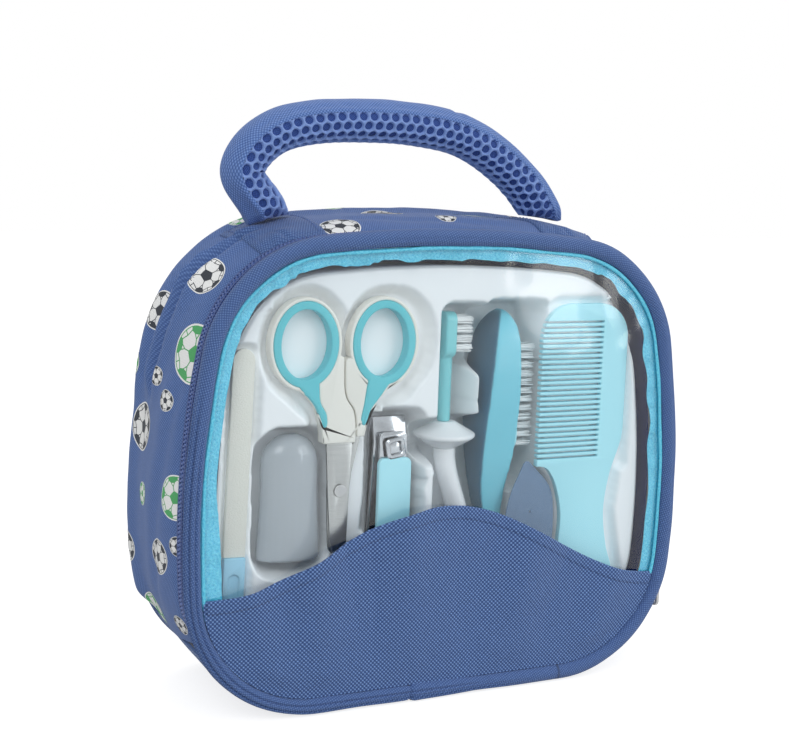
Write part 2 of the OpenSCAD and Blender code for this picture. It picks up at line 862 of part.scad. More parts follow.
shank_left = placed(rivet_at, smooth([
    [-23, 43], [-18, 37.5], [-13.5, 34.5], [-10, 30], [-8.2, 24], [-7.6, 18], [-7.4, 14],
    [10, 14], [8, 25], [4, 33], [2, 45], [-4, 49]
]));
shank_right = placed(rivet_at, smooth([
    [23.5, 42.5], [18.5, 37.5], [14, 33.5], [10.4, 28], [9, 22], [8.4, 19], [8.2, 15],
    [0, 15], [0, 25], [-2, 33], [-2, 45], [6, 48]
]));
tongue_left = placed(rivet_at, smooth([
    [-18, 40.2], [-14.6, 39.8], [-10, 40.8], [-9, 33], [-6.6, 28.4], [-6.2, 24.4], [-7.6, 23.6],
    [-9.6, 29], [-13.6, 34]
]));
tongue_right = placed(rivet_at, smooth([
    [18.6, 40.2], [15.2, 39.8], [10, 40.8], [8, 31], [7, 25.6], [8, 23.6], [9.2, 25],
    [10.8, 29.4], [14.4, 34]
]));

module shell_2d(side) {
    intersection() {
        union() {
            loop_oval(side < 0 ? loop_left : loop_right, 0);
            polygon(side < 0 ? shank_left : shank_right);
        }
        union() {
            if (side < 0) left_of_mid(half_gap);
            else right_of_mid(half_gap);
            translate(side < 0 ? loop_left : loop_right)
                translate([side < 0 ? -20 : -13, 0]) square([33, 30]);
        }
        translate(rivet_at + [-50, shell_low[side < 0 ? 0 : 1]]) square([120, 60]);
    }
}

ring_edge = 1.3;                                    // white plastic that shows outside the ring
module tongue_2d(side) {
    intersection() {
        polygon(side < 0 ? tongue_left : tongue_right);
        shell_2d(side);
    }
}

// The end of the blade that sits inside the plastic
module tang_2d(side) {
    if (side < 0) translate(rivet_at + [-3.5, shell_low[0] - eps]) square([5, 12]);
    else translate(rivet_at + [6, shell_low[1] - eps]) square([1.8, 7]);
}

module scissor_shell(side) {
    blade_y = side < 0 ? blade_front_y : blade_rear_y;
    color("whitesmoke")
        difference() {
            slab(grip_y0, grip_y0 + grip_t) shell_2d(side);
            slab(grip_y0 - eps, grip_y0 + grip_t + eps) loop_oval(side < 0 ? loop_left : loop_right, ring_edge);
            slab(grip_y0 - eps, grip_y0 + inlay_t) tongue_2d(side);
            slab(blade_y, blade_y + blade_t) tang_2d(side);
        }
}

module scissor_ring(side) {
    c = side < 0 ? loop_left : loop_right;
    color("mediumturquoise")
        difference() {
            union() {
                slab(grip_y0 - ring_proud, grip_y0 + grip_t) loop_oval(c, ring_edge);
                slab(grip_y0 - ring_proud, grip_y0 + inlay_t) tongue_2d(side);
            }
            slab(grip_y0 - eps, grip_y0 + grip_t + eps) loop_oval(c, loop_rim);
        }
}

module scissor_shell_left() scissor_shell(-1);
module scissor_shell_right() scissor_shell(1);
module scissor_ring_left() scissor_ring(-1);
module scissor_ring_right() scissor_ring(1);

// Points are taken from the rivet
module blade(side, points, hole_r) {
    y = side < 0 ? blade_front_y : blade_rear_y;
    color("silver")
        slab(y, y + blade_t)
            difference() {
                union() {
                    translate(rivet_at) polygon(points);
                    tang_2d(side);
                }
                translate(rivet_at) circle(hole_r, $fn = 32);
            }
}

module scissor_blade_left() {
    blade(-1, concat(
        [[-5.6, shell_low[0]], [-4.6, 0], [-3.2, 5 - blade_l]],
        arc_pts([0.4, 3 - blade_l], 3, 180, 330, 8),
        [[3.6, -2], [4.4, shell_low[0]]]
    ), rivet_r);
}

module scissor_blade_right() {
    blade(1, concat(
        [[5.6, shell_low[1]], [5.4, shell_low[0] - 0.6], [-4, 8], [-4.4, 0], [-3.6, 5 - blade_l]],
        arc_pts([-0.4, 3.4 - blade_l], 3, 200, 350, 8),
        [[4, -2], [4.8, 6], [8, shell_low[1]]]
    ), rivet_r + fine);
}

module scissor_rivet() {
    head_t = 0.6;
    color("gainsboro")
        translate([rivet_at[0], blade_front_y, rivet_at[1]])
            rotate([-90, 0, 0]) {
                translate([0, 0, -head_t]) cylinder(r = rivet_r + 0.9, h = head_t);
                cylinder(r = rivet_r, h = 2 * blade_t + 4 * fine);
                translate([0, 0, 2 * blade_t + 4 * fine]) cylinder(r = rivet_r + 0.9, h = head_t);
            }
}

module scissor_blade_well(grow) {
    translate(rivet_at) round_box([-9.5 - grow, -blade_l - 4 - grow], [10.5 + grow, 21], 3);
}

module scissor_well(grow) {
    loop_oval(loop_left, 0, well_gap + grow);
    for (dx = [0, swing_room / 2, swing_room])
        loop_oval(loop_right + [dx, 0], 0, well_gap + grow);
    translate(rivet_at)
        polygon(smooth([
            [-26 - grow, 43], [-18 - grow, 34 - grow], [-11 - grow, 27], [-9.5 - grow, 17],
            [10.5 + grow, 17], [13 + grow, 25], [18 + grow, 31 - grow], [26 + grow, 38],
            [16, 51], [-12, 51]
        ]));
    scissor_blade_well(grow);
}

// ---- the nail clipper ----

clipper_floor = 13.5;
pin_foot_t = 0.6;                                   // rear head of the pin, which the clipper rests on
clipper_back = face_y + clipper_floor - pin_foot_t;
clipper_low = clipper_top[1] - clipper_l;
clipper_pin_z = clipper_top[1] - 11;
clipper_tip_y = clipper_back - 3.4;                 // where the two cutting edges meet
lever_t = 1.4;
lever_y = face_y + 3.6;                             // front face of the metal lever

module pin_hole(r) {
    translate([clipper_top[0], 0, clipper_pin_z])
        rotate([90, 0, 0])
            cylinder(r = r, h = case_d, center = true, $fn = 32);
}

module clipper_jaw_lower() {
    color("silver")
        difference() {
            across(clipper_top[0], clipper_w)
                polygon([
                    [clipper_back - jaw_t, clipper_low], [clipper_back, clipper_low],
                    [clipper_back, clipper_top[1] - 6], [clipper_tip_y + 0.9, clipper_top[1]],
                    [clipper_tip_y, clipper_top[1]], [clipper_back - jaw_t, clipper_top[1] - 6.4]
                ]);
            pin_hole(pin_r + fine);
        }
}

module clipper_jaw_upper() {
    y1 = clipper_back - jaw_t;
    color("silver")
        difference() {
            across(clipper_top[0], clipper_w)
                polygon([
                    [y1 - jaw_t, clipper_low], [y1, clipper_low], [y1, clipper_low + 8],
                    [clipper_tip_y - 1.6, clipper_top[1] - 9], [clipper_tip_y - 0.1, clipper_top[1]],
                    [clipper_tip_y - 1, clipper_top[1]], [clipper_tip_y - 2.9, clipper_top[1] - 9],
                    [y1 - jaw_t, clipper_low + 8]
                ]);
            pin_hole(pin_r + fine);
        }
}

module clipper_pin() {
    head_y = lever_y - 1.4;
    color("silver")
        translate([clipper_top[0], 0, clipper_pin_z])
            rotate([-90, 0, 0]) {
                translate([0, 0, head_y]) cylinder(r = pin_r + 1, h = 0.9, $fn = 32);
                translate([0, 0, head_y]) cylinder(r = pin_r, h = clipper_back + pin_foot_t - head_y, $fn = 32);
                translate([0, 0, clipper_back]) cylinder(r = pin_r + 1, h = pin_foot_t, $fn = 32);
            }
}

module clipper_lever() {
    color("silver")
        difference() {
            union() {
                slab(lever_y, lever_y + lever_t)
                    translate([clipper_top[0], 0])
                        round_box(
                            [-clipper_w / 2 + 1, clipper_low + 3], [clipper_w / 2 - 1, clipper_top[1] - 5], 2
                        );
                across(clipper_top[0], clipper_w - 4)
                    translate([lever_y + lever_t, clipper_top[1] - 7.6])
                        square([1.1, 2]);
            }
            pin_hole(pin_r + 0.5);
        }
}

module clipper_cover() {
    color("paleturquoise")
        slab(lever_y - 2.2, lever_y)
            translate([clipper_top[0], 0])
                round_box([-clipper_w / 2, clipper_low + 2], [clipper_w / 2, clipper_pin_z - pin_r - 1.6], 2.4);
}

module clipper_well(grow) {
    translate([clipper_top[0], 0])
        round_box(
            [-clipper_w / 2 - well_gap - 1 - grow, clipper_low - well_gap - grow],
            [clipper_w / 2 + well_gap + 1 + grow, clipper_top[1] + well_gap + grow], 3
        );
}

// ---- the toothbrush ----

toothbrush_y = face_y + 9.6;                        // its middle line
brush_floor = 9.6 + guard_d / 2 + 0.6;
bend_shift = 8;                                     // the handle steps to the right by this much
bend_drop = 34;                                     // over this length
grip_top_z = toothbrush_at[1] - 5;
grip_low_z = toothbrush_at[1] - 68;
neck_x = toothbrush_at[0] - 0.6;

function grip_ring(z, r) =
    let (x = toothbrush_at[0] + bend_shift * ease((grip_top_z - z) / bend_drop))
        [for (i = [24:-1:1]) [x + r * cos(15 * i), toothbrush_y + r * sin(15 * i), z]];
module toothbrush_grip() {
    bend_steps = 10;
    color("white")
        loft(concat(
            [
                for (a = [15:15:90])
                    grip_ring(grip_low_z + brush_grip_r * (1 - sin(90 - a)), brush_grip_r * sin(a))
            ],
            [
                for (i = [bend_steps:-1:0])
                    grip_ring(grip_top_z - bend_drop * i / bend_steps, brush_grip_r)
            ]
        ));
}

module toothbrush_guard() {
    color("white")
        translate([toothbrush_at[0], toothbrush_y, 0])
            rotate_extrude($fn = 64)
                polygon([
                    [0, grip_top_z], [brush_grip_r, grip_top_z], [guard_d / 2 - 2, toothbrush_at[1] - 2],
                    [guard_d / 2, toothbrush_at[1] - 0.6], [guard_d / 2, toothbrush_at[1] + 0.6],
                    [neck_r + 1.4, toothbrush_at[1] + 5], [0, toothbrush_at[1] + 5]
                ]);
}

module toothbrush_neck() {
    head_l = 17;
    head_t = 4.4;
    head_w = 9;
    base_z = toothbrush_at[1] + 5;
    color("mediumturquoise") {
        translate([neck_x, toothbrush_y, base_z])
            cylinder(r = neck_r, h = toothbrush_top - head_l - base_z + 2, $fn = 32);
        translate([neck_x - head_t / 2, toothbrush_y, 0])
            rotate([90, 0, 90])
                linear_extrude(head_t)
                    round_box([-head_w / 2, toothbrush_top - head_l], [head_w / 2, toothbrush_top], 3.2);
    }
}

module toothbrush_bristles() {
    color("white")
        for (row = [0:3])
            for (col = [-1:1])
                translate([neck_x + 2.2, toothbrush_y + col * 2.6, toothbrush_top - 3 - row * 3.5])
                    rotate([0, 90, 0])
                        cylinder(r = 1.1, h = toothbrush_tuft_l, $fn = 16);
}

module toothbrush_well(grow) {
    x0 = toothbrush_at[0];
    g = grow + well_gap;
    // head and its bristles, neck, guard, grip
    round_box([neck_x - 4 - grow, toothbrush_top - 20 - grow], [neck_x + 10.6 + grow, toothbrush_top + g], 2.5);
    round_box([neck_x - 4 - grow, toothbrush_at[1] - 6], [neck_x + 7 + grow, toothbrush_top - 10], 2.5);
    round_box(
        [x0 - guard_d / 2 - g, toothbrush_at[1] - 6 - g], [x0 + guard_d / 2 + grow, toothbrush_at[1] + 4 + g], 3
    );
    round_box([x0 - brush_grip_r - g, grip_low_z + 20], [x0 + guard_d / 2 - 1.4 + g, toothbrush_at[1]], 4);
    round_box([x0 - g, grip_low_z - g], [x0 + bend_shift + brush_grip_r + g, grip_top_z - bend_drop / 2], 4);
}

// ---- the hairbrush, lying on its side ----

hairbrush_floor = hairbrush_d + 2;
hairbrush_y0 = face_y + 0.6;
hairbrush_mid_y = hairbrush_y0 + hairbrush_d / 2;
hairbrush_side = placed(hairbrush_at, smooth([
    [-5, 55.9], [-1, 51.5], [0, 41.5], [0.4, 21.5], [0, 1.5], [-1.4, -10.5],
    [-2.4, -24.5], [-2.2, -42.5], [-2, -56.5], [-5.6, -61.5], [-9.4, -56.5], [-9.6, -42.5], [-10.4, -24.5],
    [-13, -8.5], [-13.6, 11.5], [-12.4, 31.5], [-10, 47.5]
]));

module hairbrush_body() {
    front = smooth([
        [0, 56.5], [hairbrush_d / 2 - 2, 47.5], [hairbrush_d / 2, 25.5], [hairbrush_d / 2 - 3, 1.5],
        [5.4, -12.5], [4.6, -26.5], [5, -46.5], [4.4, -59.5], [0, -62.5], [-4.4, -59.5], [-5, -46.5],
        [-4.6, -26.5], [-5.4, -12.5],
        [-hairbrush_d / 2 + 3, 1.5], [-hairbrush_d / 2, 25.5], [-hairbrush_d / 2 + 2, 47.5]
    ]);
    color("mediumturquoise")
        intersection() {
            slab(hairbrush_y0, hairbrush_y0 + hairbrush_d)
                polygon(hairbrush_side);
            translate([hairbrush_at[0] - 30, hairbrush_mid_y, hairbrush_at[1]])
                rotate([90, 0, 90])
                    linear_extrude(60)
                        polygon(front);
        }
}

pad_t = 1;
module hairbrush_pad() {
    color("paleturquoise")
        translate([hairbrush_edge + 0.5, hairbrush_mid_y, hairbrush_at[1]])
            rotate([90, 0, 90])
                linear_extrude(pad_t)
                    round_box([-hairbrush_d / 2 + 4, 1.5], [hairbrush_d / 2 - 4, 45.5], 6);
}

module hairbrush_bristles() {
    rows = hairbrush_rows - 1;
    color("white")
        for (row = [0:rows])
            for (col = [-1:1])
                translate([
                    hairbrush_edge + 0.5 + pad_t, hairbrush_mid_y + col * (hairbrush_d - 12) / 2,
                    hairbrush_at[1] + 5.5 + row * 36 / rows
                ])
                    rotate([0, 90, 0])
                        cylinder(r = 0.9, h = hairbrush_tuft_l - pad_t - 0.5, $fn = 16);
}

module hairbrush_well(grow) {
    g = grow + well_gap;
    translate(hairbrush_at) {
        round_box([-13.6 - g, -12 - g], [hairbrush_tuft_l + 1.4 + grow, 56.5 + g], 4);
        round_box([-11.6 - g, -62.5 - g], [-1 + g, 5.5], 4);
    }
}

// ---- the comb ----

comb_floor = comb_t + 0.8;
comb_y1 = face_y + comb_floor;
comb_pitch = (teeth_top - teeth_low) / comb_teeth;

comb_corner = 13;
comb_half = comb_w / 2;
comb_grip = placed(comb_top, smooth_open([
    [-comb_half + 1, -62], [-comb_half + 5, -63.4], [-comb_half + 9, -70], [-7.4, -81], [-7.8, -93],
    [-9, -105], [-5.6, -112], [4.4, -113.6], [comb_half - 3.4, -112], [comb_half - 1.6, -105],
    [comb_half - 4.8, -95], [comb_half - 6.8, -81], [comb_half - 5, -67], [comb_half - 1, -55], [comb_half, -49]
]));

module comb_outline() {
    polygon(concat(
        [[comb_left, teeth_low - 2]],
        comb_grip,
        arc_pts([comb_right - comb_corner, comb_top[1] - comb_corner], comb_corner, 0, 90, 10),
        arc_pts([comb_left + comb_corner, comb_top[1] - comb_corner], comb_corner, 90, 180, 10)
    ));
}

module comb() {
    slot = comb_pitch * 0.45;
    color("paleturquoise")
        slab(comb_y1 - comb_t, comb_y1)
            difference() {
                comb_outline();
                for (i = [0:comb_teeth - 1])
                    translate([comb_left - eps, teeth_low + (i + 0.5) * comb_pitch - slot / 2])
                        square([tooth_l + eps, slot]);
            }
}

module comb_well(grow) {
    g = grow + well_gap;
    round_box([comb_left - 1 - grow, teeth_low], [comb_right + g, comb_top[1] + g], 9);
    round_box([comb_left - 1 - grow, teeth_low - 4 - grow], [comb_right + g, teeth_low + 20], 2);
    translate(comb_top)
        polygon([
            [1 - comb_half - grow, -57], [-11.6 - g, -67], [-9.6 - g, -81], [-10.6 - g, -107],
            [-6.6, -115 - g], [comb_half - 2, -115 - g], [comb_half + g, -107], [comb_half - 5 + g, -81],
            [comb_half - 3 + g, -65], [comb_half + g, -55]
        ]);
}

finger_floor = 12;
finger_shape = placed(hairbrush_at, smooth([
    [5, -1.5], [9, -4.5], [16, -12.5], [18, -24.5], [17, -36.5], [10, -41.5], [2, -39.5], [-3, -28.5],
    [-2, -16.5], [2, -6.5]
]));
module finger_well(grow) {
    polygon(finger_shape);
    if (grow > 0)
        translate(hairbrush_at) round_box([-3 - grow, -41.5 - grow], [18 + grow, -2.5 + grow], 8);
}

// ---- the tray ----

well_floors = [
    file_floor, sleeve_floor, scissor_floor, clipper_floor,
    brush_floor, hairbrush_floor, comb_floor, finger_floor
];

module well(i, grow) {
    if (i == 0) file_shape(well_gap + grow);
    if (i == 1) sleeve_shape(well_gap + grow);
    if (i == 2) scissor_well(grow);
    if (i == 3) clipper_well(grow);
    if (i == 4) toothbrush_well(grow);
    if (i == 5) hairbrush_well(grow);
    if (i == 6) comb_well(grow);
    if (i == 7) finger_well(grow);
}

tray_flange = lining_inset + lining_t + slack;
module tray() {
    color("white") {
        difference() {
            union() {
                slab(face_y, face_y + tray_t) polygon(outline(tray_inset));
                ring(tray_inset, tray_inset + tray_t, face_y, lining_y);
                for (i = [0:len(well_floors) - 1])
                    slab(face_y, face_y + well_floors[i] + tray_t) well(i, tray_t);
            }
            for (i = [0:len(well_floors) - 1])
                slab(face_y - eps, face_y + well_floors[i]) well(i, 0);
        }
        ring(tray_flange, tray_inset + tray_t, lining_y - tray_t, lining_y);
    }
}

back_panel();
back_board();
back_lining();
bottom_panel();
bottom_board();
printed_band();
band_foam();
band_lining();
rear_piping();
zip_tape_rear();
zip_coil_rear();
handle_tab_left();
handle_tab_right();
front_piping();
window();
window_binding();
pocket_panel();
pocket_hem();
zip_tape_front();
zip_coil_front();
zip_slider();
zip_pull();
handle_cover();
handle_mesh();
handle_foam();
tray();
file_blade();
file_grip();
finger_brush();
scissor_blade_left();
scissor_shell_left();
scissor_ring_left();
scissor_rivet();
scissor_blade_right();
scissor_shell_right();
scissor_ring_right();
clipper_jaw_upper();
clipper_jaw_lower();
clipper_pin();
clipper_lever();
clipper_cover();
toothbrush_grip();
toothbrush_guard();
toothbrush_neck();
toothbrush_bristles();
hairbrush_body();
hairbrush_pad();
hairbrush_bristles();
comb();
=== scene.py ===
import math

import bmesh
import bpy
import numpy as np
from mathutils import Matrix, Vector
from mathutils.bvhtree import BVHTree


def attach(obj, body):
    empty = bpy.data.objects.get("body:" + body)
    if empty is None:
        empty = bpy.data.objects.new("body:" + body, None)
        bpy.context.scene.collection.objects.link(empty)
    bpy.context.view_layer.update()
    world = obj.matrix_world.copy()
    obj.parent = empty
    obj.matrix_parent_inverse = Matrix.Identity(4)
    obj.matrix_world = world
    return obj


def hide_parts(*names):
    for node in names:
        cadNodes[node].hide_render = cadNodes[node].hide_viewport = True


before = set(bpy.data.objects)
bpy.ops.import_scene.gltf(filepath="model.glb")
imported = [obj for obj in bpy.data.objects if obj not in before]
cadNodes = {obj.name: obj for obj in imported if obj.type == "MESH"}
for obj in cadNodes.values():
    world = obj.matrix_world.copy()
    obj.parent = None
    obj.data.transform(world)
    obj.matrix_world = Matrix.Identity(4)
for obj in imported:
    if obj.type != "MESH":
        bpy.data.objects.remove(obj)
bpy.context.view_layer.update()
mm = 0.001  # shapes are worked out in millimetres and written in metres


# hex values are sRGB, nodes want linear
def hexColour(code):
    parts = [int(code[i : i + 2], 16) / 255 for i in (1, 3, 5)]
    return tuple(c / 12.92 if c <= 0.04045 else ((c + 0.055) / 1.055) ** 2.4 for c in parts) + (1.0,)


def addNode(tree, kind, inputs=None, **settings):
    node = tree.nodes.new(kind)
    for name, value in settings.items():
        setattr(node, name, value)
    for key, value in (inputs or {}).items():
        if isinstance(value, bpy.types.NodeSocket):
            tree.links.new(value, node.inputs[key])
        else:
            node.inputs[key].default_value = value
    return node


def emptyTree(owner):
    owner.use_nodes = True
    owner.node_tree.nodes.clear()
    return owner.node_tree


def newMaterial(name, **inputs):
    material = bpy.data.materials.new(name)
    tree = emptyTree(material)
    shader = addNode(tree, "ShaderNodeBsdfPrincipled", {k.replace("_", " "): v for k, v in inputs.items()})
    output = addNode(tree, "ShaderNodeOutputMaterial")
    tree.links.new(shader.outputs["BSDF"], output.inputs["Surface"])
    return material, tree, shader


def sum2(tree, a, b, operation):
    return addNode(tree, "ShaderNodeMath", {0: a, 1: b}, operation=operation).outputs[0]


# place on the cloth in millimetres, so that a weave follows it
def clothPlace(tree, turn, scale):
    place = addNode(tree, "ShaderNodeAttribute", attribute_name="cloth").outputs["Vector"]
    settings = {"Vector": place, "Rotation": (0, 0, turn), "Scale": (scale, scale, scale)}
    return addNode(tree, "ShaderNodeMapping", settings).outputs["Vector"]


# bright crossings of a plain weave, 0 to 1
def weavePattern(tree, pitch, turn):
    axes = addNode(tree, "ShaderNodeSeparateXYZ", {"Vector": clothPlace(tree, turn, 1.0)})
    along = sum2(tree, axes.outputs["X"], 2 * math.pi / pitch, "MULTIPLY")
    across = sum2(tree, axes.outputs["Y"], 2 * math.pi / pitch, "MULTIPLY")
    product = sum2(tree, sum2(tree, along, 0, "SINE"), sum2(tree, across, 0, "SINE"), "MULTIPLY")
    spread = addNode(tree, "ShaderNodeMapRange", {"Value": product, "From Min": -0.25, "From Max": 0.85})
    return spread.outputs["Result"]


def noiseOf(tree, **inputs):
    return addNode(tree, "ShaderNodeTexNoise", inputs).outputs["Fac"]


def softNoise(tree, size, detail=2.0):
    return noiseOf(tree, Vector=clothPlace(tree, 0, 1.0 / size), Detail=detail)


def blendColour(tree, factor, a, b):
    return addNode(tree, "ShaderNodeMix", {0: factor, 6: a, 7: b}, data_type="RGBA").outputs[2]


def bumpFrom(tree, height, distance):
    inputs = {"Height": height, "Distance": distance * mm, "Strength": 1.0}
    return addNode(tree, "ShaderNodeBump", inputs).outputs["Normal"]


# two tones blended by a pattern, and a bump in mm from the same pattern or from another
def dress(tree, shader, pattern, low, high, bump=0.0, height=None):
    colour = blendColour(tree, pattern, hexColour(low), hexColour(high))
    tree.links.new(colour, shader.inputs["Base Color"])
    if bump:
        normal = bumpFrom(tree, pattern if height is None else height, bump)
        tree.links.new(normal, shader.inputs["Normal"])


# meshes
def shadeSmooth(mesh, sharp=None):
    mesh.polygons.foreach_set("use_smooth", [True] * len(mesh.polygons))
    if sharp:
        mesh.set_sharp_from_angle(angle=math.radians(sharp))


def meshFrom(edit, name):
    mesh = bpy.data.meshes.new(name)
    edit.to_mesh(mesh)
    edit.free()
    return mesh


def buildMesh(name, points, faces, sharp=40):
    mesh = bpy.data.meshes.new(name)
    mesh.from_pydata((np.asarray(points, float).reshape(-1, 3) * mm).tolist(), [], [list(f) for f in faces])
    edit = bmesh.new()
    edit.from_mesh(mesh)
    bmesh.ops.recalc_face_normals(edit, faces=edit.faces)
    edit.to_mesh(mesh)
    edit.free()
    shadeSmooth(mesh, sharp)
    mesh.update()
    return mesh


def gridFaces(rows, cols, start=0, wrapRows=False, wrapCols=False):
    index = start + np.arange(rows * cols).reshape(rows, cols)
    if wrapRows:
        index = np.vstack([index, index[:1]])
    if wrapCols:
        index = np.hstack([index, index[:, :1]])
    corners = [index[:-1, :-1], index[1:, :-1], index[1:, 1:], index[:-1, 1:]]
    return np.stack(corners, -1).reshape(-1, 4).tolist()


# two grids of the same size, joined at their open sides
def layerFaces(rows, cols, wrapRows=False, wrapCols=False):
    front = gridFaces(rows, cols, 0, wrapRows, wrapCols)
    back = [f[::-1] for f in gridFaces(rows, cols, rows * cols, wrapRows, wrapCols)]
    index = np.arange(rows * cols).reshape(rows, cols)
    sides = []
    if not wrapCols:
        sides += [(index[:, 0], False), (index[:, -1], False)]
    if not wrapRows:
        sides += [(index[0, :], True), (index[-1, :], True)]
    rim, below = [], rows * cols
    for line, isRow in sides:
        closed = wrapCols if isRow else wrapRows
        line = (np.append(line, line[0]) if closed else line).tolist()
        rim += [[a, b, b + below, a + below] for a, b in zip(line[:-1], line[1:])]
    return front + back + rim


# rings of points joined into a rod
def rodFaces(rings, around, capped=True):
    faces = []
    for low in range(0, (rings - 1) * around, around):
        high = low + around
        pairs = [(k, (k + 1) % around) for k in range(around)]
        faces += [[low + k, low + m, high + m, high + k] for k, m in pairs]
    last = (rings - 1) * around
    return faces + [list(range(around - 1, -1, -1)), list(range(last, last + around))] if capped else faces


# a tube whose ends close on a middle point
def closedTube(rings):
    rows, around = rings.shape[:2]
    last, total = (rows - 1) * around, rows * around
    pairs = [(k, (k + 1) % around) for k in range(around)]
    faces = gridFaces(rows, around, 0, False, True) + [[total, k, m] for k, m in pairs]
    faces += [[total + 1, last + m, last + k] for k, m in pairs]
    return np.concatenate([rings.reshape(-1, 3), [rings[0].mean(0), rings[-1].mean(0)]]), faces


# many shapes with the same faces, for one mesh
def manyShapes(shapes, faces):
    step = len(shapes[0])
    return np.concatenate(shapes), [[v + i * step for v in f] for i in range(len(shapes)) for f in faces]


def giveCloth(mesh, cloth):
    layer = mesh.attributes.new("cloth", "FLOAT_VECTOR", "POINT")
    layer.data.foreach_set("vector", np.asarray(cloth, np.float32).reshape(-1, 3).ravel())


def addPiece(name, mesh, body, material, replaced=(), cloth=None):
    piece = bpy.data.objects.new(name, mesh)
    bpy.context.scene.collection.objects.link(piece)
    mesh.materials.clear()
    mesh.materials.append(material)
    if cloth is not None:
        giveCloth(mesh, cloth)
    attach(piece, body)
    if replaced:
        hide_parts(*replaced)
    return piece


def stacked(x, y, z):
    return np.stack(np.broadcast_arrays(x, y, z), -1)


# cloth with a thickness: two grids of points closed at their open sides
def addLayers(name, body, material, replaced, layers, flat=None, sharp=40, wrap=(False, False)):
    rows, cols = layers[0].shape[:2]
    points = np.concatenate([layer.reshape(-1, 3) for layer in layers])
    mesh = buildMesh(name, points, layerFaces(rows, cols, *wrap), sharp)
    cloth = None if flat is None else np.concatenate([flat.reshape(-1, 3)] * 2)
    return addPiece(name, mesh, body, material, replaced, cloth)


def smoothStep(t):
    t = np.clip(t, 0, 1)
    return t * t * (3 - 2 * t)


def hump(distance, width):
    return np.exp(-((distance / width) ** 2))


def roundTurn(count):
    return np.linspace(0, 2 * math.pi, count, endpoint=False)


# slow uneven waves, the same on every run
def waves(u, v, size, seed):
    total = np.zeros(np.broadcast(u, v).shape)
    rng = np.random.default_rng(seed)
    for _ in range(7):
        angle = rng.uniform(0, math.pi)
        length = size * rng.uniform(0.6, 1.6)
        phase = rng.uniform(0, 2 * math.pi)
        total = total + np.sin((u * math.cos(angle) + v * math.sin(angle)) * 2 * math.pi / length + phase)
    return total / 3.5


# the case's outline: sizes, and the points on each arc
arcSteps = 400
case = {"width": 200, "height": 173, "cornerR": 49, "sideR": 330, "sideMidZ": 68, "crownR": 480,
        "zipEndDeg": 28}


def caseArcs():
    cornerR, sideR, crownR = case["cornerR"], case["sideR"], case["crownR"]
    sideX = case["width"] / 2 - sideR
    lowX = sideX + math.sqrt((sideR - cornerR) ** 2 - (cornerR - case["sideMidZ"]) ** 2)
    lowA = math.degrees(math.atan2(cornerR - case["sideMidZ"], lowX - sideX))
    crownZ = case["height"] - crownR
    gap = np.array([-sideX, crownZ - case["sideMidZ"]])
    gapL = np.hypot(*gap)
    armS, armC = sideR - cornerR, crownR - cornerR
    foot = (armS**2 - armC**2 + gapL**2) / (2 * gapL)
    side = math.sqrt(armS**2 - foot**2)
    highX = sideX + foot * gap[0] / gapL - side * gap[1] / gapL
    highZ = case["sideMidZ"] + foot * gap[1] / gapL + side * gap[0] / gapL
    sideA = math.degrees(math.atan2(highZ - case["sideMidZ"], highX - sideX))
    crownA = math.degrees(math.atan2(highZ - crownZ, highX))
    return [
        (lowX, cornerR, cornerR, -90, lowA),
        (sideX, case["sideMidZ"], sideR, lowA, sideA),
        (highX, highZ, cornerR, sideA, crownA),
        (0, crownZ, crownR, crownA, 180 - crownA),
        (-highX, highZ, cornerR, 180 - crownA, 180 - sideA),
        (-sideX, case["sideMidZ"], sideR, 180 - sideA, 180 - lowA),
        (-lowX, cornerR, cornerR, 180 - lowA, 270),
    ]


def outlineTable(arcs, closed):
    parts = []
    for cx, cz, r, start, end in arcs:
        turn = np.radians(np.linspace(start, end, arcSteps))
        parts.append(np.c_[cx + r * np.cos(turn), cz + r * np.sin(turn), np.cos(turn), np.sin(turn)])
    rows = np.concatenate(parts)
    if closed:
        rows = np.vstack([rows, rows[:1]])
    run = np.concatenate([[0], np.cumsum(np.hypot(np.diff(rows[:, 0]), np.diff(rows[:, 1])))])
    return {"run": run, "rows": rows, "length": run[-1]}


def onOutline(table, run):
    return [np.interp(run, table["run"], table["rows"][:, k]) for k in range(4)]


arcs = caseArcs()
zipArcs = [list(a) for a in arcs]
zipArcs[0][3] = -case["zipEndDeg"]
zipArcs[-1][4] = 180 + case["zipEndDeg"]
rimPath = outlineTable(arcs, True)
zipPath = outlineTable(zipArcs, False)

# the band round the case
band = {"frontY": -22.2, "rearY": 27.8, "edgeInset": 2.5, "swell": 3.2, "swellRun": 45, "endRun": 12,
        "rearPuff": 4.3, "puffAt": 0.89, "puffSpan": 0.11}


# how far the padded band stands out from the outline; t goes from its front edge to its rear one
def bandOut(run, t):
    fromEnd = np.minimum(run, zipPath["length"] - run)
    swell = band["swell"] * smoothStep(fromEnd / band["swellRun"])
    ahead = hump(np.maximum(band["puffAt"] - t, 0), band["puffSpan"])
    puff = band["rearPuff"] * ahead * (1 - np.clip((t - band["puffAt"]) / band["puffSpan"], 0, 1) ** 2.4)
    crown = (band["edgeInset"] + swell) * (1 - np.abs(2 * t - 1) ** 2.6)
    return -band["edgeInset"] + crown + puff * smoothStep(fromEnd / band["endRun"])


def bandPoint(run, t, lift):
    x, z, nx, nz = onOutline(zipPath, run)
    out = bandOut(run, t) + lift
    y = band["frontY"] + (band["rearY"] - band["frontY"]) * t
    return stacked(x + nx * out, y, z + nz * out)


# share of the depth at a distance across the band's curved face
bandShares = np.linspace(0, 1, 800)
bandDepth = band["rearY"] - band["frontY"]
bandSteps = np.hypot(np.diff(bandOut(zipPath["length"] / 2, bandShares)), np.diff(bandShares) * bandDepth)
bandReach = np.concatenate([[0], np.cumsum(bandSteps)])
bandWidth = bandReach[-1]


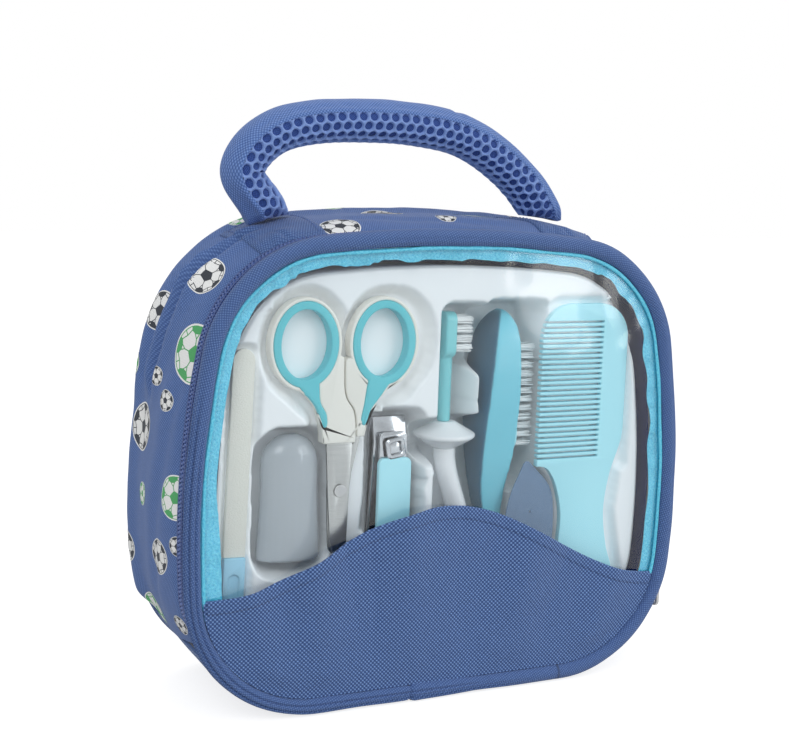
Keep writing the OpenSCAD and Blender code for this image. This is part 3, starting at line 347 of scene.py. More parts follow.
def bandV(width):
    return np.interp(width, bandReach, bandShares)


# creases and slack of the cloth round the band, in mm out of its plain form
bandCreases = [
    # run and distance across at both ends, depth, width
    (294, 18, 312, 20, 2.6, 3.4), (308, 19, 345, 28, 2.8, 4.2),
    (300, 33, 345, 40, 0.7, 5.0),
    (352, 8, 420, 20, 0.6, 6.0),
    (150, 16, 100, 24, 0.9, 4.0),
    (60, 30, 118, 36, 0.6, 6.0),
    (196, 8, 246, 13, 0.5, 4.0),
]


def bandWrinkle(run, width):
    lift = 0.45 + 0.3 * waves(run, width * 1.3, 46, 11) + 0.12 * waves(run, width, 17, 12)
    for u0, v0, u1, v1, depth, size in bandCreases:
        length = math.hypot(u1 - u0, v1 - v0)
        du, dv = (u1 - u0) / length, (v1 - v0) / length
        s = (run - u0) * du + (width - v0) * dv
        d = -(run - u0) * dv + (width - v0) * du
        fade = smoothStep(s / 14 + 1) * smoothStep((length - s) / 14 + 1)
        ridges = 0.9 * hump(d - size, 0.7 * size) + 0.6 * hump(d + size, 0.8 * size)
        lift = lift + fade * depth * (ridges - hump(d, 0.5 * size))
    edge = smoothStep(np.minimum(width, bandWidth - width) / 5)
    return np.maximum(lift, -1.5) * edge


def onBand(run, width, lift):
    return bandPoint(run, bandV(width), lift + bandWrinkle(run, width))


# cloths
# 600-denier polyester oxford, plain weave, piece-dyed royal blue: matt, with bright thread crossings.
# The real threads are 0.5 mm apart, which the picture can't show, so they are drawn coarser.
oxfordLook = {"shade": "#2b4a83", "thread": "#82a7e1", "pitch": 0.76, "bump": 0.26}


def makeOxford(name, look, turn=0.0):
    sheen, gloss = look.get("sheen", 0.12), look.get("gloss", 0.5)
    inputs = {"Sheen_Weight": sheen, "Sheen_Roughness": 0.5, "Specular_IOR_Level": gloss}
    material, tree, shader = newMaterial(name, Roughness=0.82, **inputs)
    weave = weavePattern(tree, 2 * look["pitch"], turn)
    mixed = blendColour(tree, weave, hexColour(look["shade"]), hexColour(look["thread"]))
    patches = sum2(tree, sum2(tree, softNoise(tree, 9.0), 0.22, "MULTIPLY"), 0.89, "ADD")
    worn = addNode(tree, "ShaderNodeHueSaturation", {"Color": mixed, "Value": patches})
    height = sum2(tree, weave, sum2(tree, softNoise(tree, 0.5, 1.0), 0.35, "MULTIPLY"), "ADD")
    tree.links.new(worn.outputs["Color"], shader.inputs["Base Color"])
    tree.links.new(bumpFrom(tree, height, look["bump"]), shader.inputs["Normal"])
    return material


oxfordCloth = makeOxford("polyester oxford, royal blue", oxfordLook)

# cut on the bias round the cord, the cloth of the piping shows a finer, fainter weave
pipingLook = {"shade": "#3b588f", "thread": "#6585bd", "pitch": 0.6, "bump": 0.16}
pipingCloth = makeOxford("polyester oxford, bias cut", pipingLook, math.pi / 9)

# the printed cloth is a finer polyester twill: smoother, a little greyer in the sheen
printedLook = {"shade": "#47659f", "thread": "#6b8bc6", "pitch": 0.55, "bump": 0.14}
printedCloth = makeOxford("polyester twill, printed blue", printedLook, math.pi / 12)

# cover of the handle: the same oxford stretched tight over foam, so its threads look finer
handleLook = {"shade": "#4768a8", "thread": "#7c9ddb", "pitch": 0.6, "bump": 0.14}
handleCloth = makeOxford("polyester oxford, stretched", handleLook)


# printing ink on cloth: flat, slightly raised and matt
def makeInk(name, code):
    material, tree, shader = newMaterial(name, Roughness=0.7)
    grain = sum2(tree, softNoise(tree, 1.1), 0.12, "MULTIPLY")
    dress(tree, shader, grain, code, "#8f9aa8", 0.06, weavePattern(tree, 1.24, math.pi / 5))
    return material


inkWhite = makeInk("screen ink, white", "#fbfcfb")
inkBlack = makeInk("screen ink, black", "#22262f")
inkGreen = makeInk("screen ink, green", "#4fae66")

# woven nylon tape of the zip
tapeLook = {"shade": "#2b437c", "thread": "#4d69ab", "pitch": 0.55, "bump": 0.12}
zipTapeCloth = makeOxford("nylon zip tape, navy", tapeLook)

# nylon 66 monofilament of the coil, dyed: smooth with a soft gloss
zipCoilNylon, tree, shader = newMaterial("nylon coil, dyed blue", Roughness=0.38, IOR=1.53)
dress(tree, shader, noiseOf(tree, Scale=400.0), "#3a5493", "#5d7abd")

# polyester satin: long floats that catch the light along the fold
satinLook = {"Roughness": 0.38, "Anisotropic": 0.4, "Sheen_Weight": 0.15, "Sheen_Roughness": 0.3}
satinCloth, tree, shader = newMaterial("polyester satin, turquoise", **satinLook)
dress(tree, shader, softNoise(tree, 4.5, 0.0), "#2bb2dc", "#7fe4f8", 0.25)

# knitted polyester spacer mesh: bright round strands over a dark ground net
airMeshTop, tree, shader = newMaterial("spacer mesh, strands", Roughness=0.6, Sheen_Weight=0.2)
dress(tree, shader, softNoise(tree, 0.7), "#4f72bd", "#9ab9f2", 0.18)
groundLook = {"shade": "#1f3c7c", "thread": "#3c5fae", "pitch": 0.45, "bump": 0.1}
airMeshGround = makeOxford("spacer mesh, ground net", groundLook)

# spun-bonded lining: paper-like and quite dull, navy in the case; the slate sheet in the finger recess is
# painted shade for the recess's depth
liningLook = {"shade": "#172b6c", "thread": "#213a80", "pitch": 0.8, "bump": 0.03, "sheen": 0.0,
              "gloss": 0.1}
liningCloth = makeOxford("spun-bonded lining, navy", liningLook)
recessShadeLook = {"shade": "#6d86a3", "thread": "#758eab", "pitch": 0.5, "bump": 0.005, "sheen": 0.0,
             "gloss": 0.2}
recessShadeCloth = makeOxford("slate sheet, painted recess shade", recessShadeLook)

# slab foam: open cells, off-white
foamPad, tree, shader = newMaterial("polyurethane foam, off-white", Roughness=0.95)
foamCells = addNode(tree, "ShaderNodeTexVoronoi", {"Scale": 900.0}).outputs["Distance"]
dress(tree, shader, foamCells, "#c9c6bc", "#efece2", 0.3)
# grey stiffening board, calendered polyethylene
boardSheet, tree, shader = newMaterial("polyethylene board, grey", Roughness=0.55, IOR=1.51)
dress(tree, shader, noiseOf(tree, Scale=120.0), "#4a4b50", "#5b5c61")


# hard parts: colour with a faint cloud, so that no face is one flat tone
def makeMoulded(name, code, second, roughness, grain, bump=0.02, **more):
    material, tree, shader = newMaterial(name, Roughness=roughness, **more)
    place = addNode(tree, "ShaderNodeTexCoord").outputs["Object"]
    cloud = noiseOf(tree, Vector=place, Scale=grain, Detail=3.0)
    dress(tree, shader, cloud, code, second, bump, noiseOf(tree, Vector=place, Scale=1800.0))
    return material


# thermoformed polystyrene sheet, satin gloss, bluish white
trayPlastic = makeMoulded("thermoformed polystyrene, white", "#f3f7fa", "#fbfdfe", 0.32, 30.0, IOR=1.59)
# coated abrasive on the file: 240 grit, drawn at 0.25 mm
fileGrit = makeMoulded("emery coating, ivory", "#dcdcd2", "#f4f3ea", 0.8, 4000.0, 0.15)
# moulded plastics: an even satin gloss from a polished tool
filePlastic = makeMoulded("moulded ABS, powder blue", "#8fcbe6", "#a7daf0", 0.3, 40.0, IOR=1.54)
scissorPlastic = makeMoulded("moulded ABS, ivory", "#e9e6dc", "#f5f3ec", 0.3, 40.0, IOR=1.54)
scissorInlay = makeMoulded("soft-touch elastomer, turquoise", "#4cc0cd", "#68d0da", 0.45, 40.0, IOR=1.5)
paleName = "moulded polypropylene, pale turquoise"
palePlastic = makeMoulded(paleName, "#a9ecf9", "#b8f2fc", 0.33, 25.0, IOR=1.49)
brushPlastic = makeMoulded("moulded polypropylene, turquoise, painted flank shade", "#62c3d8", "#7fd5e6", 0.3, 25.0, IOR=1.49)
neckPlastic = makeMoulded("moulded polypropylene, aqua", "#6fc9d0", "#8bd9de", 0.3, 25.0, IOR=1.49)
whitePlastic = makeMoulded("moulded polypropylene, white", "#eceff2", "#f6f8f9", 0.26, 25.0, IOR=1.49)
# silicone rubber, translucent grey, glossy from a polished mould
siliconeLook = {"IOR": 1.41, "Transmission_Weight": 0.35, "Coat_Weight": 0.4, "Coat_Roughness": 0.08}
siliconeName = "silicone rubber, translucent grey"
greySilicone = makeMoulded(siliconeName, "#b9c3cb", "#d3dae0", 0.16, 30.0, **siliconeLook)
bristleNylon = makeMoulded("nylon filament, milky", "#f6fbfc", "#ffffff", 0.4, 500.0, 0.01, IOR=1.53)
sewingThread = makeMoulded("polyester thread, blue", "#4a66a6", "#6683c4", 0.6, 900.0, 0.05)

# painted shade: the hairbrush body's flank, where the wall turns away from the light, is darkened to a deep blue
# in its colour
tree = brushPlastic.node_tree
shader = next(n for n in tree.nodes if n.type == "BSDF_PRINCIPLED")
plain = shader.inputs["Base Color"].links[0].from_socket
outward = addNode(tree, "ShaderNodeTexCoord").outputs["Normal"]
side = addNode(tree, "ShaderNodeSeparateXYZ", {"Vector": outward}).outputs["X"]
flank = addNode(tree, "ShaderNodeMapRange", {"Value": side, "From Min": -0.25, "From Max": -0.85})
# painted shade: the colour blends to deep blue on the flank that faces away
paintedFlankShade = blendColour(tree, flank.outputs["Result"], plain, hexColour("#2c6a86"))
tree.links.new(paintedFlankShade, shader.inputs["Base Color"])

# ground stainless steel of the blades: grinding lines run across the blade
steelLook = {"Metallic": 1.0, "Roughness": 0.3, "Anisotropic": 0.4}
bladeSteel, tree, shader = newMaterial("stainless steel, ground", **steelLook)
place = addNode(tree, "ShaderNodeTexCoord").outputs["Object"]
lines = addNode(tree, "ShaderNodeMapping", {"Vector": place, "Scale": (150.0, 150.0, 6500.0)})
grind = noiseOf(tree, Vector=lines.outputs["Vector"], Scale=1.0)
dress(tree, shader, grind, "#8f9091", "#b9b9b6", 0.02)


# bright plating shows dark and light by what it mirrors; a cloud keeps it from looking like paint
def makePlating(name, code, second, roughness):
    material, tree, shader = newMaterial(name, Metallic=1.0, Roughness=roughness)
    place = addNode(tree, "ShaderNodeTexCoord").outputs["Object"]
    dress(tree, shader, noiseOf(tree, Vector=place, Scale=260.0, Detail=4.0), code, second, 0.03)
    return material


chromePlate = makePlating("chromium plating, bright", "#8d8f93", "#c4c6c9", 0.14)
nickelPlate = makePlating("nickel plating, tumbled zinc", "#97979a", "#bdbcba", 0.3)

# clear plasticised PVC film: seen only by its gloss, so it is a reflection laid over a clear sheet
clearFilm = bpy.data.materials.new("plasticised PVC film, clear")
tree = emptyTree(clearFilm)
place = addNode(tree, "ShaderNodeTexCoord").outputs["Object"]
normal = bumpFrom(tree, noiseOf(tree, Vector=place, Scale=38.0, Detail=2.0), 0.5)
shine = addNode(tree, "ShaderNodeBsdfGlossy", {"Roughness": 0.07, "Normal": normal, "Color": (1, 1, 1, 1)})
clear = addNode(tree, "ShaderNodeBsdfTransparent", {"Color": hexColour("#fcfeff")})
facing = addNode(tree, "ShaderNodeLayerWeight", {"Blend": 0.5, "Normal": normal}).outputs["Facing"]
gloss = {"Value": sum2(tree, facing, 5.0, "POWER"), "To Min": 0.025, "To Max": 0.6}
edge = addNode(tree, "ShaderNodeMapRange", gloss).outputs["Result"]
film = addNode(tree, "ShaderNodeMixShader", {0: edge, 1: clear.outputs["BSDF"], 2: shine.outputs["BSDF"]})
addNode(tree, "ShaderNodeOutputMaterial", {"Surface": film.outputs["Shader"]})
print("materials ready:", len(bpy.data.materials))


# printed band
printedBand = {"rows": 420, "cols": 52, "thickness": 1.15}
bandRuns = np.linspace(0, zipPath["length"], printedBand["rows"])[:, None]
bandWidths = np.linspace(0, bandWidth, printedBand["cols"])[None]
bandCreased = np.minimum(bandWrinkle(bandRuns, bandWidths), 0)
bandLayers = (onBand(bandRuns, bandWidths, 0.0),
              bandPoint(bandRuns, bandV(bandWidths), bandCreased - printedBand["thickness"]))
bandPiece = addLayers("printed_band_cloth", "case", printedCloth, ["printed_band"],
                      bandLayers, stacked(bandRuns, bandWidths, 0.0))

# footballs scattered on the band: run along it, distance across, radius, turn, and g for green
footballs = {
    "places": [
        (325, 39, 6.9, 0.3, ""), (309, 12, 6.6, 1.1, ""), (366, 35, 8.8, 0.7, ""), (408, 13.5, 6.4, 0.2, ""),
        (259, 7, 7.4, 0.9, ""), (231, 33, 8.0, 0.1, ""), (335, 2.5, 10.6, 0.5, "g"), (385, 3, 8.0, 0.4, "g"),
        (436, 36, 8.0, 1.0, "g"), (195, 29, 8.6, 0.8, "g"), (282, 44, 4.6, 0.2, "g"), (353, 13, 3.8, 0.6, ""),
        (402, 2, 3.6, 0.3, ""), (432, 6, 4.0, 0.9, ""), (346, 22, 3.4, 0.5, ""), (389, 29, 4.2, 0.1, "g"),
        (214, 14, 4.0, 0.4, ""), (246, 49, 6.4, 1.2, "g"), (170, 12, 7.8, 0.6, ""), (166, 47, 6.6, 0.2, ""),
        (143, 30, 8.4, 0.9, "g"), (120, 9, 8.4, 0.4, ""), (112, 45, 8.0, 1.0, ""), (92, 24, 9.4, 0.1, ""),
        (70, 6, 6.2, 0.7, "g"), (64, 43, 8.6, 0.5, "g"), (43, 22, 7.6, 1.1, ""), (22, 42, 8.2, 0.3, ""),
        (16, 9, 8.8, 0.8, "g"), (345, 49, 5.6, 0.8, "g"), (412, 47, 6.4, 0.2, ""), (133, 51, 4.0, 0.5, "g"),
    ],
    "rings": 7,
    "around": 40,
    "lift": 0.05,
}


def clippedToBand(edit):
    margin = (0.5, 0.35)  # along the band and across it
    farEnd, farSide = zipPath["length"] - margin[0], bandWidth - margin[1]
    cuts = (((0, margin[1], 0), (0, -1, 0)), ((0, farSide, 0), (0, 1, 0)),
            ((margin[0], 0, 0), (-1, 0, 0)), ((farEnd, 0, 0), (1, 0, 0)))
    for place, outward in cuts:
        bmesh.ops.bisect_plane(edit, geom=edit.verts[:] + edit.edges[:] + edit.faces[:],
                               plane_co=place, plane_no=outward, clear_outer=True, dist=1e-5)


def printShape(edit, outline, centre):
    middle = edit.verts.new((centre[0], centre[1], 0))
    corners = [edit.verts.new((x, y, 0)) for x, y in outline]
    for a, b in zip(corners, corners[1:] + corners[:1]):
        edit.faces.new((middle, a, b))


# a ball seen straight on: a middle pentagon, five half-seen ones at the rim, and the seams between
def ballShapes(radius, turn):
    def spot(angle, reach):
        return (radius * reach * math.cos(angle), radius * reach * math.sin(angle))
    dark = [[spot(turn + math.radians(72 * k), 0.31) for k in range(5)]]
    seams = []
    for k in range(5):
        a = turn + math.radians(72 * k)
        rim = ((-0.13, 0.66), (0.13, 0.66), (0.31, 0.80), (0.30, 0.91), (0.1, 0.91), (-0.1, 0.91),
               (-0.30, 0.91), (-0.31, 0.80))
        dark.append([spot(a + off, reach) for off, reach in rim])
        ends = ((0, 0.30, 0, 0.50), (0, 0.50, -0.13, 0.67), (0, 0.50, 0.13, 0.67),
                (0.31, 0.80, 0.628, 0.72), (-0.31, 0.80, -0.628, 0.72), (0.628, 0.72, 0.628, 0.91))
        seams += [(spot(a + a0, r0), spot(a + a1, r1)) for a0, r0, a1, r1 in ends]
    return dark, seams


def ringShape(edit, centre, inner, outer, rings, around):
    rows = []
    for i in range(rings + 1):
        reach = inner + (outer - inner) * i / rings
        rows.append([edit.verts.new((centre[0] + reach * math.cos(a), centre[1] + reach * math.sin(a), 0))
                     for a in roundTurn(around)])
    for low, high in zip(rows[:-1], rows[1:]):
        for k in range(around):
            m = (k + 1) % around
            edit.faces.new((low[k], high[k], high[m], low[m]))


def printPiece(name, edit, lift, material):
    clippedToBand(edit)
    bmesh.ops.triangulate(edit, faces=edit.faces[:])
    long = [e for e in edit.edges if e.calc_length() > 2.2]
    bmesh.ops.subdivide_edges(edit, edges=long, cuts=1)
    bmesh.ops.remove_doubles(edit, verts=edit.verts, dist=1e-4)
    flat = np.array([v.co for v in edit.verts])
    edit.verts.index_update()
    faces = [[v.index for v in f.verts] for f in edit.faces]
    mesh = buildMesh(name, onBand(flat[:, 0], flat[:, 1], lift), faces)
    edit.free()
    return addPiece(name, mesh, "case", material, (), flat)


whiteInk, blackInk, greenInk = bmesh.new(), bmesh.new(), bmesh.new()
for run, width, radius, turn, colour in footballs["places"]:
    dark, seams = ballShapes(radius, turn)
    darkInk = greenInk if colour else blackInk
    ringShape(whiteInk, (run, width), 0.001, radius, footballs["rings"], footballs["around"])
    ringShape(darkInk, (run, width), 0.905 * radius, 0.935 * radius, 1, footballs["around"])
    for shape in dark:
        middle = np.mean(shape, axis=0) + (run, width)
        printShape(darkInk, [(x + run, y + width) for x, y in shape], middle)
    for start, end in np.array(seams) + (run, width):
        along = (end - start) / np.hypot(*(end - start))
        side = np.array([-along[1], along[0]]) * 0.017 * radius
        line = (start + side, end + side, end - side, start - side)
        darkInk.faces.new([darkInk.verts.new((x, y, 0)) for x, y in line])
printPiece("print_white", whiteInk, footballs["lift"], inkWhite)
printPiece("print_black", blackInk, 2 * footballs["lift"], inkBlack)
printPiece("print_green", greenInk, 2 * footballs["lift"], inkGreen)
print("band and print done")


# points inside the outline by an inset, at a depth y
def insetPoints(table, run, inset, y):
    x, z, nx, nz = onOutline(table, run)
    return stacked(x - nx * inset, y, z - nz * inset)


# piping
piping = {"radius": 3.1, "y": 30.9, "rows": 620, "around": 52, "overlapX": -13.0, "overlapL": 26.0,
          "overlapLift": 0.55, "foldDeg": 8, "foldFade": 0.05}
pipingFolds = [
    # angle on the tube (0 faces outwards, 90 faces the front), start and end of the run, depth
    (58, 0.60, 0.99, 1.0), (104, 0.62, 0.97, 0.8), (14, 0.60, 0.99, 0.8), (142, 0.30, 0.60, 0.3),
    (80, 0.86, 0.99, 0.6), (75, 0.10, 0.30, 0.20), (95, 0.36, 0.50, 0.22),
]

for sign, node, body in ((-1, "front_piping", "front_cover"), (1, "rear_piping", "case")):
    run = np.linspace(0, rimPath["length"], piping["rows"], endpoint=False)[:, None]
    turn = roundTurn(piping["around"])[None]
    x, z, nx, nz = onOutline(rimPath, run)
    radius = piping["radius"] + 0.12 * waves(run, turn * 6, 30, 21) - 0.05
    share = run / rimPath["length"]
    for angle, start, end, depth in pipingFolds:
        away = np.degrees(np.angle(np.exp(1j * (turn - math.radians(angle)))))
        window = smoothStep((share - start) / piping["foldFade"])
        window = window * smoothStep((end - share) / piping["foldFade"])
        radius = radius - depth * hump(away, piping["foldDeg"]) * window
    # the cord's two ends lie over each other on the foot
    past = (piping["overlapX"] - x) * sign
    lap = np.where((z < 1.0) & (past > 0), np.clip(1 - past / piping["overlapL"], 0, 1) ** 0.7, 0)
    radius = radius + piping["overlapLift"] * lap - 0.5 * np.where(z < 1.0, hump(past, 0.9), 0)
    inset = piping["radius"] - radius * np.cos(turn)
    points = insetPoints(rimPath, run, inset, sign * (piping["y"] + radius * np.sin(turn)))
    faces = gridFaces(piping["rows"], piping["around"], 0, True, True)
    mesh = buildMesh(node + "_cloth", points, faces)
    cloth = stacked(run, turn * piping["radius"], 0.0)
    piece = addPiece(node + "_cloth", mesh, body, pipingCloth, [node], cloth)


# zip: two woven tapes and two rows of coil teeth that mesh between them
zipSizes = {"inset": 3.1, "frontTape": (-27.8, -26.6), "rearTape": (-23.4, -22.2), "tapeT": 0.8,
            "toothPitch": 1.5, "toothShare": 0.62, "frontCoil": (-26.5, -24.75),
            "rearCoil": (-23.5, -25.25), "coilT": 1.3, "bulge": 2.1, "bulgeFrom": 185, "bulgeRun": 60,
            "endRun": 20}


# away from the slider the closed zip is pressed out between its two rims
def zipInset(run):
    out = smoothStep((run - zipSizes["bulgeFrom"]) / zipSizes["bulgeRun"])
    out = out * smoothStep((zipPath["length"] - run) / zipSizes["endRun"])
    return zipSizes["inset"] - zipSizes["bulge"] * out


run = np.linspace(0, zipPath["length"], 300)[:, None]
for node, body, span in (("zip_tape_front", "front_cover", zipSizes["frontTape"]),
                         ("zip_tape_rear", "case", zipSizes["rearTape"])):
    y = np.linspace(*span, 4)[None]
    half = zipSizes["tapeT"] / 2
    layers = [insetPoints(zipPath, run, zipInset(run) - lift, y) for lift in (half, -half)]
    addLayers(node + "_cloth", body, zipTapeCloth, [node], layers, stacked(run, y, 0.0))

# a tooth of the coil is a rounded loop across the gap
for node, body, (y0, y1), shift in (("zip_coil_front", "front_cover", zipSizes["frontCoil"], 0.0),
                                    ("zip_coil_rear", "case", zipSizes["rearCoil"], 0.5)):
    pitch, turn = zipSizes["toothPitch"], roundTurn(8)
    wide, thick = zipSizes["toothShare"] * pitch / 2 * np.cos(turn), zipSizes["coilT"] / 2 * np.sin(turn)
    tooth = np.concatenate([stacked(swell * wide, y0 + (y1 - y0) * share, swell * thick)
                            for share, swell in ((0.0, 0.75), (0.18, 1.0), (0.8, 1.0), (1.0, 0.62))])
    teeth = []
    for i in range(int(zipPath["length"] / pitch) - 1):
        run = (i + 0.5 + shift) * pitch
        x, z, nx, nz = onOutline(zipPath, run)
        axes = np.array([(-nz, 0, nx), (0, 1, 0), (nx, 0, nz)])
        teeth.append(np.array([x, 0, z]) - axes[2] * zipInset(run) + tooth @ axes)
    mesh = buildMesh(node + "_teeth", *manyShapes(teeth, rodFaces(4, 8)), 50)
    addPiece(node + "_teeth", mesh, body, zipCoilNylon, [node])
print("piping and zip done")


# sheets that fill the outline: a square grid pulled out to it; share is 1 at the edge
def filledOutline(cols, rows, inset):
    midZ = case["height"] / 2
    edge = insetPoints(rimPath, np.linspace(0, rimPath["length"], 1600, endpoint=False), inset, 0.0)
    edgeX, edgeZ = edge[:, 0], edge[:, 2] - midZ
    a, b = np.meshgrid(np.linspace(-1, 1, cols), np.linspace(-1, 1, rows))
    share = np.maximum(abs(a), abs(b))
    angle = np.arctan2(b * midZ, a * case["width"] / 2)
    reach = np.interp(angle, np.arctan2(edgeZ, edgeX), np.hypot(edgeX, edgeZ), period=2 * math.pi)
    return share * reach * np.cos(angle), midZ + share * reach * np.sin(angle), share


def fillPiece(name, body, material, node, inset, faces, cols=90, rows=78):
    x, z, share = filledOutline(cols, rows, inset)
    layers = [stacked(x, y(x, z, share) if callable(y) else y, z) for y in faces]
    return addLayers(name, body, material, [node], layers, stacked(x, z, 0.0))


# back: a lightly filled panel, crowned between its seams, with slack ripples
def backFace(x, z, share):
    ripple = 0.45 * waves(x, z, 60, 31) + 0.15 * waves(x, z, 19, 32)
    return 31.4 + smoothStep((1 - share) * 9) * (1.9 + ripple)


def liningFace(x, z, share):
    return 27.95 + 0.1 * waves(x, z, 30, 33) * (1 - share)


backPiece = fillPiece("back_panel_cloth", "case", oxfordCloth, "back_panel", 6.2,
                      (30.35, backFace))
fillPiece("back_board_sheet", "case", boardSheet, "back_board", 6.4, (28.55, 30.25), 50, 44)
liningPiece = fillPiece("back_lining_cloth", "case", liningCloth, "back_lining", 6.4,
                        (liningFace, 28.5))

# window film: pulled tight at the binding, with shallow ripples and two creases at the right
windowSizes = {"inset": 6.2, "front": -30.88, "thickness": 0.28}


def windowFace(x, z, share):
    edge = smoothStep((1 - share) * 12)
    crease = 0.10 * hump(x - 72 + (z - 120) * 0.35, 1.6) * hump(z - 118, 20)
    crease = crease + 0.09 * hump(x - 80 + (z - 96) * 0.5, 1.2) * hump(z - 92, 14)
    slack = 0.10 + 0.05 * waves(x, z, 42, 41) + 0.02 * waves(x, z, 13, 42)
    return windowSizes["front"] + edge * (slack + crease)


def windowBack(x, z, share):
    return windowFace(x, z, share) + windowSizes["thickness"]


filmPiece = fillPiece("window_film", "front_cover", clearFilm, "window", windowSizes["inset"],
                      (windowFace, windowBack), 150, 130)

# satin binding: folded over the edge of the film and gathered, so its inner edge scallops
binding = {"inset": 6.3, "width": 5.2, "rows": 760, "cols": 16, "front": -30.34}
run = np.linspace(0, rimPath["length"], binding["rows"], endpoint=False)[:, None]
across = np.linspace(0, 1, binding["cols"])[None]
share = run / rimPath["length"]
loose = 0.35 + 0.65 * smoothStep((share - 0.12) / 0.06) * smoothStep((0.62 - share) / 0.08)
gather = waves(run, 0 * across, 21, 51)
pucker = loose * np.abs(np.sin(run / 7.3 + 2.4 * gather + 0.8 * waves(run, 0 * across, 60, 52))) ** 1.3
width = binding["width"] + loose * (0.7 * gather - 0.5 * pucker) + 2.4 * smoothStep((share - 0.66) / 0.05)
fold = np.sin(np.pi * np.clip(across * 1.02, 0, 1))
y = binding["front"] + 0.25 * (1 - fold) + 1.3 * pucker * across * (1 - 0.5 * across)
y = np.clip(y + 0.5 * gather * across, binding["front"] - 0.03, binding["front"] + 1.9)
front = insetPoints(rimPath, run, binding["inset"] + across * width, y)
layers = (front, front + stacked(0.0, 0.22 + 0.25 * fold, 0.0))
bindingPiece = addLayers("window_binding_satin", "front_cover", satinCloth, ["window_binding"],
                         layers, stacked(run, across * 6, 0.0), 60, (True, False))

# its outer fold stands out beside the piping as a narrow bright bead, down to the pocket
bead = {"inset": 6.9, "y": -31.45, "radius": 0.85, "rows": 520, "around": 14, "endZ": 33.0, "endRun": 6}
right, left = slice(2 * arcSteps), slice(4 * arcSteps, 7 * arcSteps)
runs, heights = rimPath["run"], rimPath["rows"][:, 1]
beadStart = float(np.interp(bead["endZ"], heights[right], runs[right]))
beadEnd = float(np.interp(-bead["endZ"], -heights[left], runs[left]))
run = np.linspace(beadStart, beadEnd, bead["rows"])[:, None]
turn = roundTurn(bead["around"])[None]
size = bead["radius"] * (1 + 0.14 * waves(run, 0 * turn, 17, 53) + 0.06 * np.sin(run / 1.9))
for room in (run - beadStart, beadEnd - run):
    size = size * smoothStep((room + 1) / bead["endRun"])
inset = bead["inset"] + 0.25 * waves(run, 0 * turn, 33, 54) - 0.8 * size * np.cos(turn)
rings = insetPoints(rimPath, run, inset, bead["y"] + 0.62 * size * np.sin(turn))
mesh = buildMesh("window_binding_bead", *closedTube(rings), 80)
cloth = np.concatenate([stacked(run, turn * 0.8, 0.0).reshape(-1, 3), np.zeros((2, 3))])
beadPiece = addPiece("window_binding_bead", mesh, "front_cover", satinCloth, (), cloth)
print("sheets done")


# pocket over the lower front: two layers, bulging in soft upright folds between its sewn edges
pocket = {"inset": 6.2, "left": -92.6, "right": 91.6, "cols": 300, "rows": 96, "front": -32.05,
          "thickness": 1.1, "endZ": 42.5, "fall": 7, "wave": 30, "period": 92, "sewnRun": 9, "foldDrop": 42}
pocketFolds = [
    # x at the hem, lean, width, height of the fold (minus is a valley)
    (-52, 0.10, 8, 3.2), (-36, 0.16, 5, -1.6), (-16, 0.05, 10, 3.0), (14, -0.12, 7, -1.4),
    (38, -0.22, 9, 3.2), (56, -0.3, 5, -1.2), (-76, 0.3, 7, 1.8), (74, -0.3, 7, 2.0),
]


def pocketTop(x):
    arch = (np.cos(math.pi * x / pocket["period"]) + 1) / 2
    return pocket["endZ"] - pocket["fall"] * x / case["width"] + pocket["wave"] * arch


def lowerEdge(x, inset):
    edge = insetPoints(rimPath, np.linspace(0, rimPath["length"], 3000), inset, 0.0)
    edge = edge[(edge[:, 2] < case["sideMidZ"]) & (edge[:, 0] >= 0)]
    edge = edge[np.argsort(edge[:, 0])]
    return np.interp(abs(x), edge[:, 0], edge[:, 2])


# the pocket's front between its lower edge and its top
def pocketFace(x, z, low, top):
    lift = 0.25 + 0.16 * waves(x, z, 24, 61) + 0.06 * waves(x, z, 9, 62)
    for foldX, lean, size, depth in pocketFolds:
        lift = lift + depth * hump(x - foldX - lean * (top - z), size) * hump(top - z, pocket["foldDrop"])
    room = np.minimum(z - low, 0.9 * np.minimum(x - pocket["left"], pocket["right"] - x) + 0.5)
    return pocket["front"] - smoothStep(room / pocket["sewnRun"]) * np.maximum(lift, -0.12)


x = np.linspace(pocket["left"], pocket["right"], pocket["cols"])[None]
low = lowerEdge(x, pocket["inset"])
top = np.maximum(pocketTop(x), low + 0.6)
z = low + (top - low) * np.linspace(0, 1, pocket["rows"])[:, None]
face = pocketFace(x, z, low, top)
topRoll = 0.25 * hump(top - z, 0.8)
layers = (stacked(x, face + topRoll, z), stacked(x, face + pocket["thickness"] - topRoll, z))
pocketPiece = addLayers("pocket_cloth", "front_cover", oxfordCloth, ["pocket_panel"], layers,
                        stacked(x, z, 0.0), 75)

# hem: the top edge folded back on itself, thin and soft
hem = {"width": 5.0, "cols": 12, "lift": 0.42}
x, low, top = x[:, 2:-2], low[:, 2:-2], top[:, 2:-2]
down = np.linspace(0, 1, hem["cols"])[:, None]
z = top - np.minimum(hem["width"], 0.8 * (top - low)) * down
under = pocketFace(x, z, low, top)
hemRound = np.sqrt(np.clip(1 - (2 * down - 1) ** 8, 0, 1))
hemFront = under - hem["lift"] * hemRound * smoothStep((1 - down) * 7)
layers = (stacked(x, hemFront, z + 0.15 * hemRound), stacked(x, under + 0.12, z))
hemPiece = addLayers("pocket_hem_cloth", "front_cover", oxfordCloth, ["pocket_hem"], layers,
                     stacked(x, z, 0.0), 75)
print("pocket done")


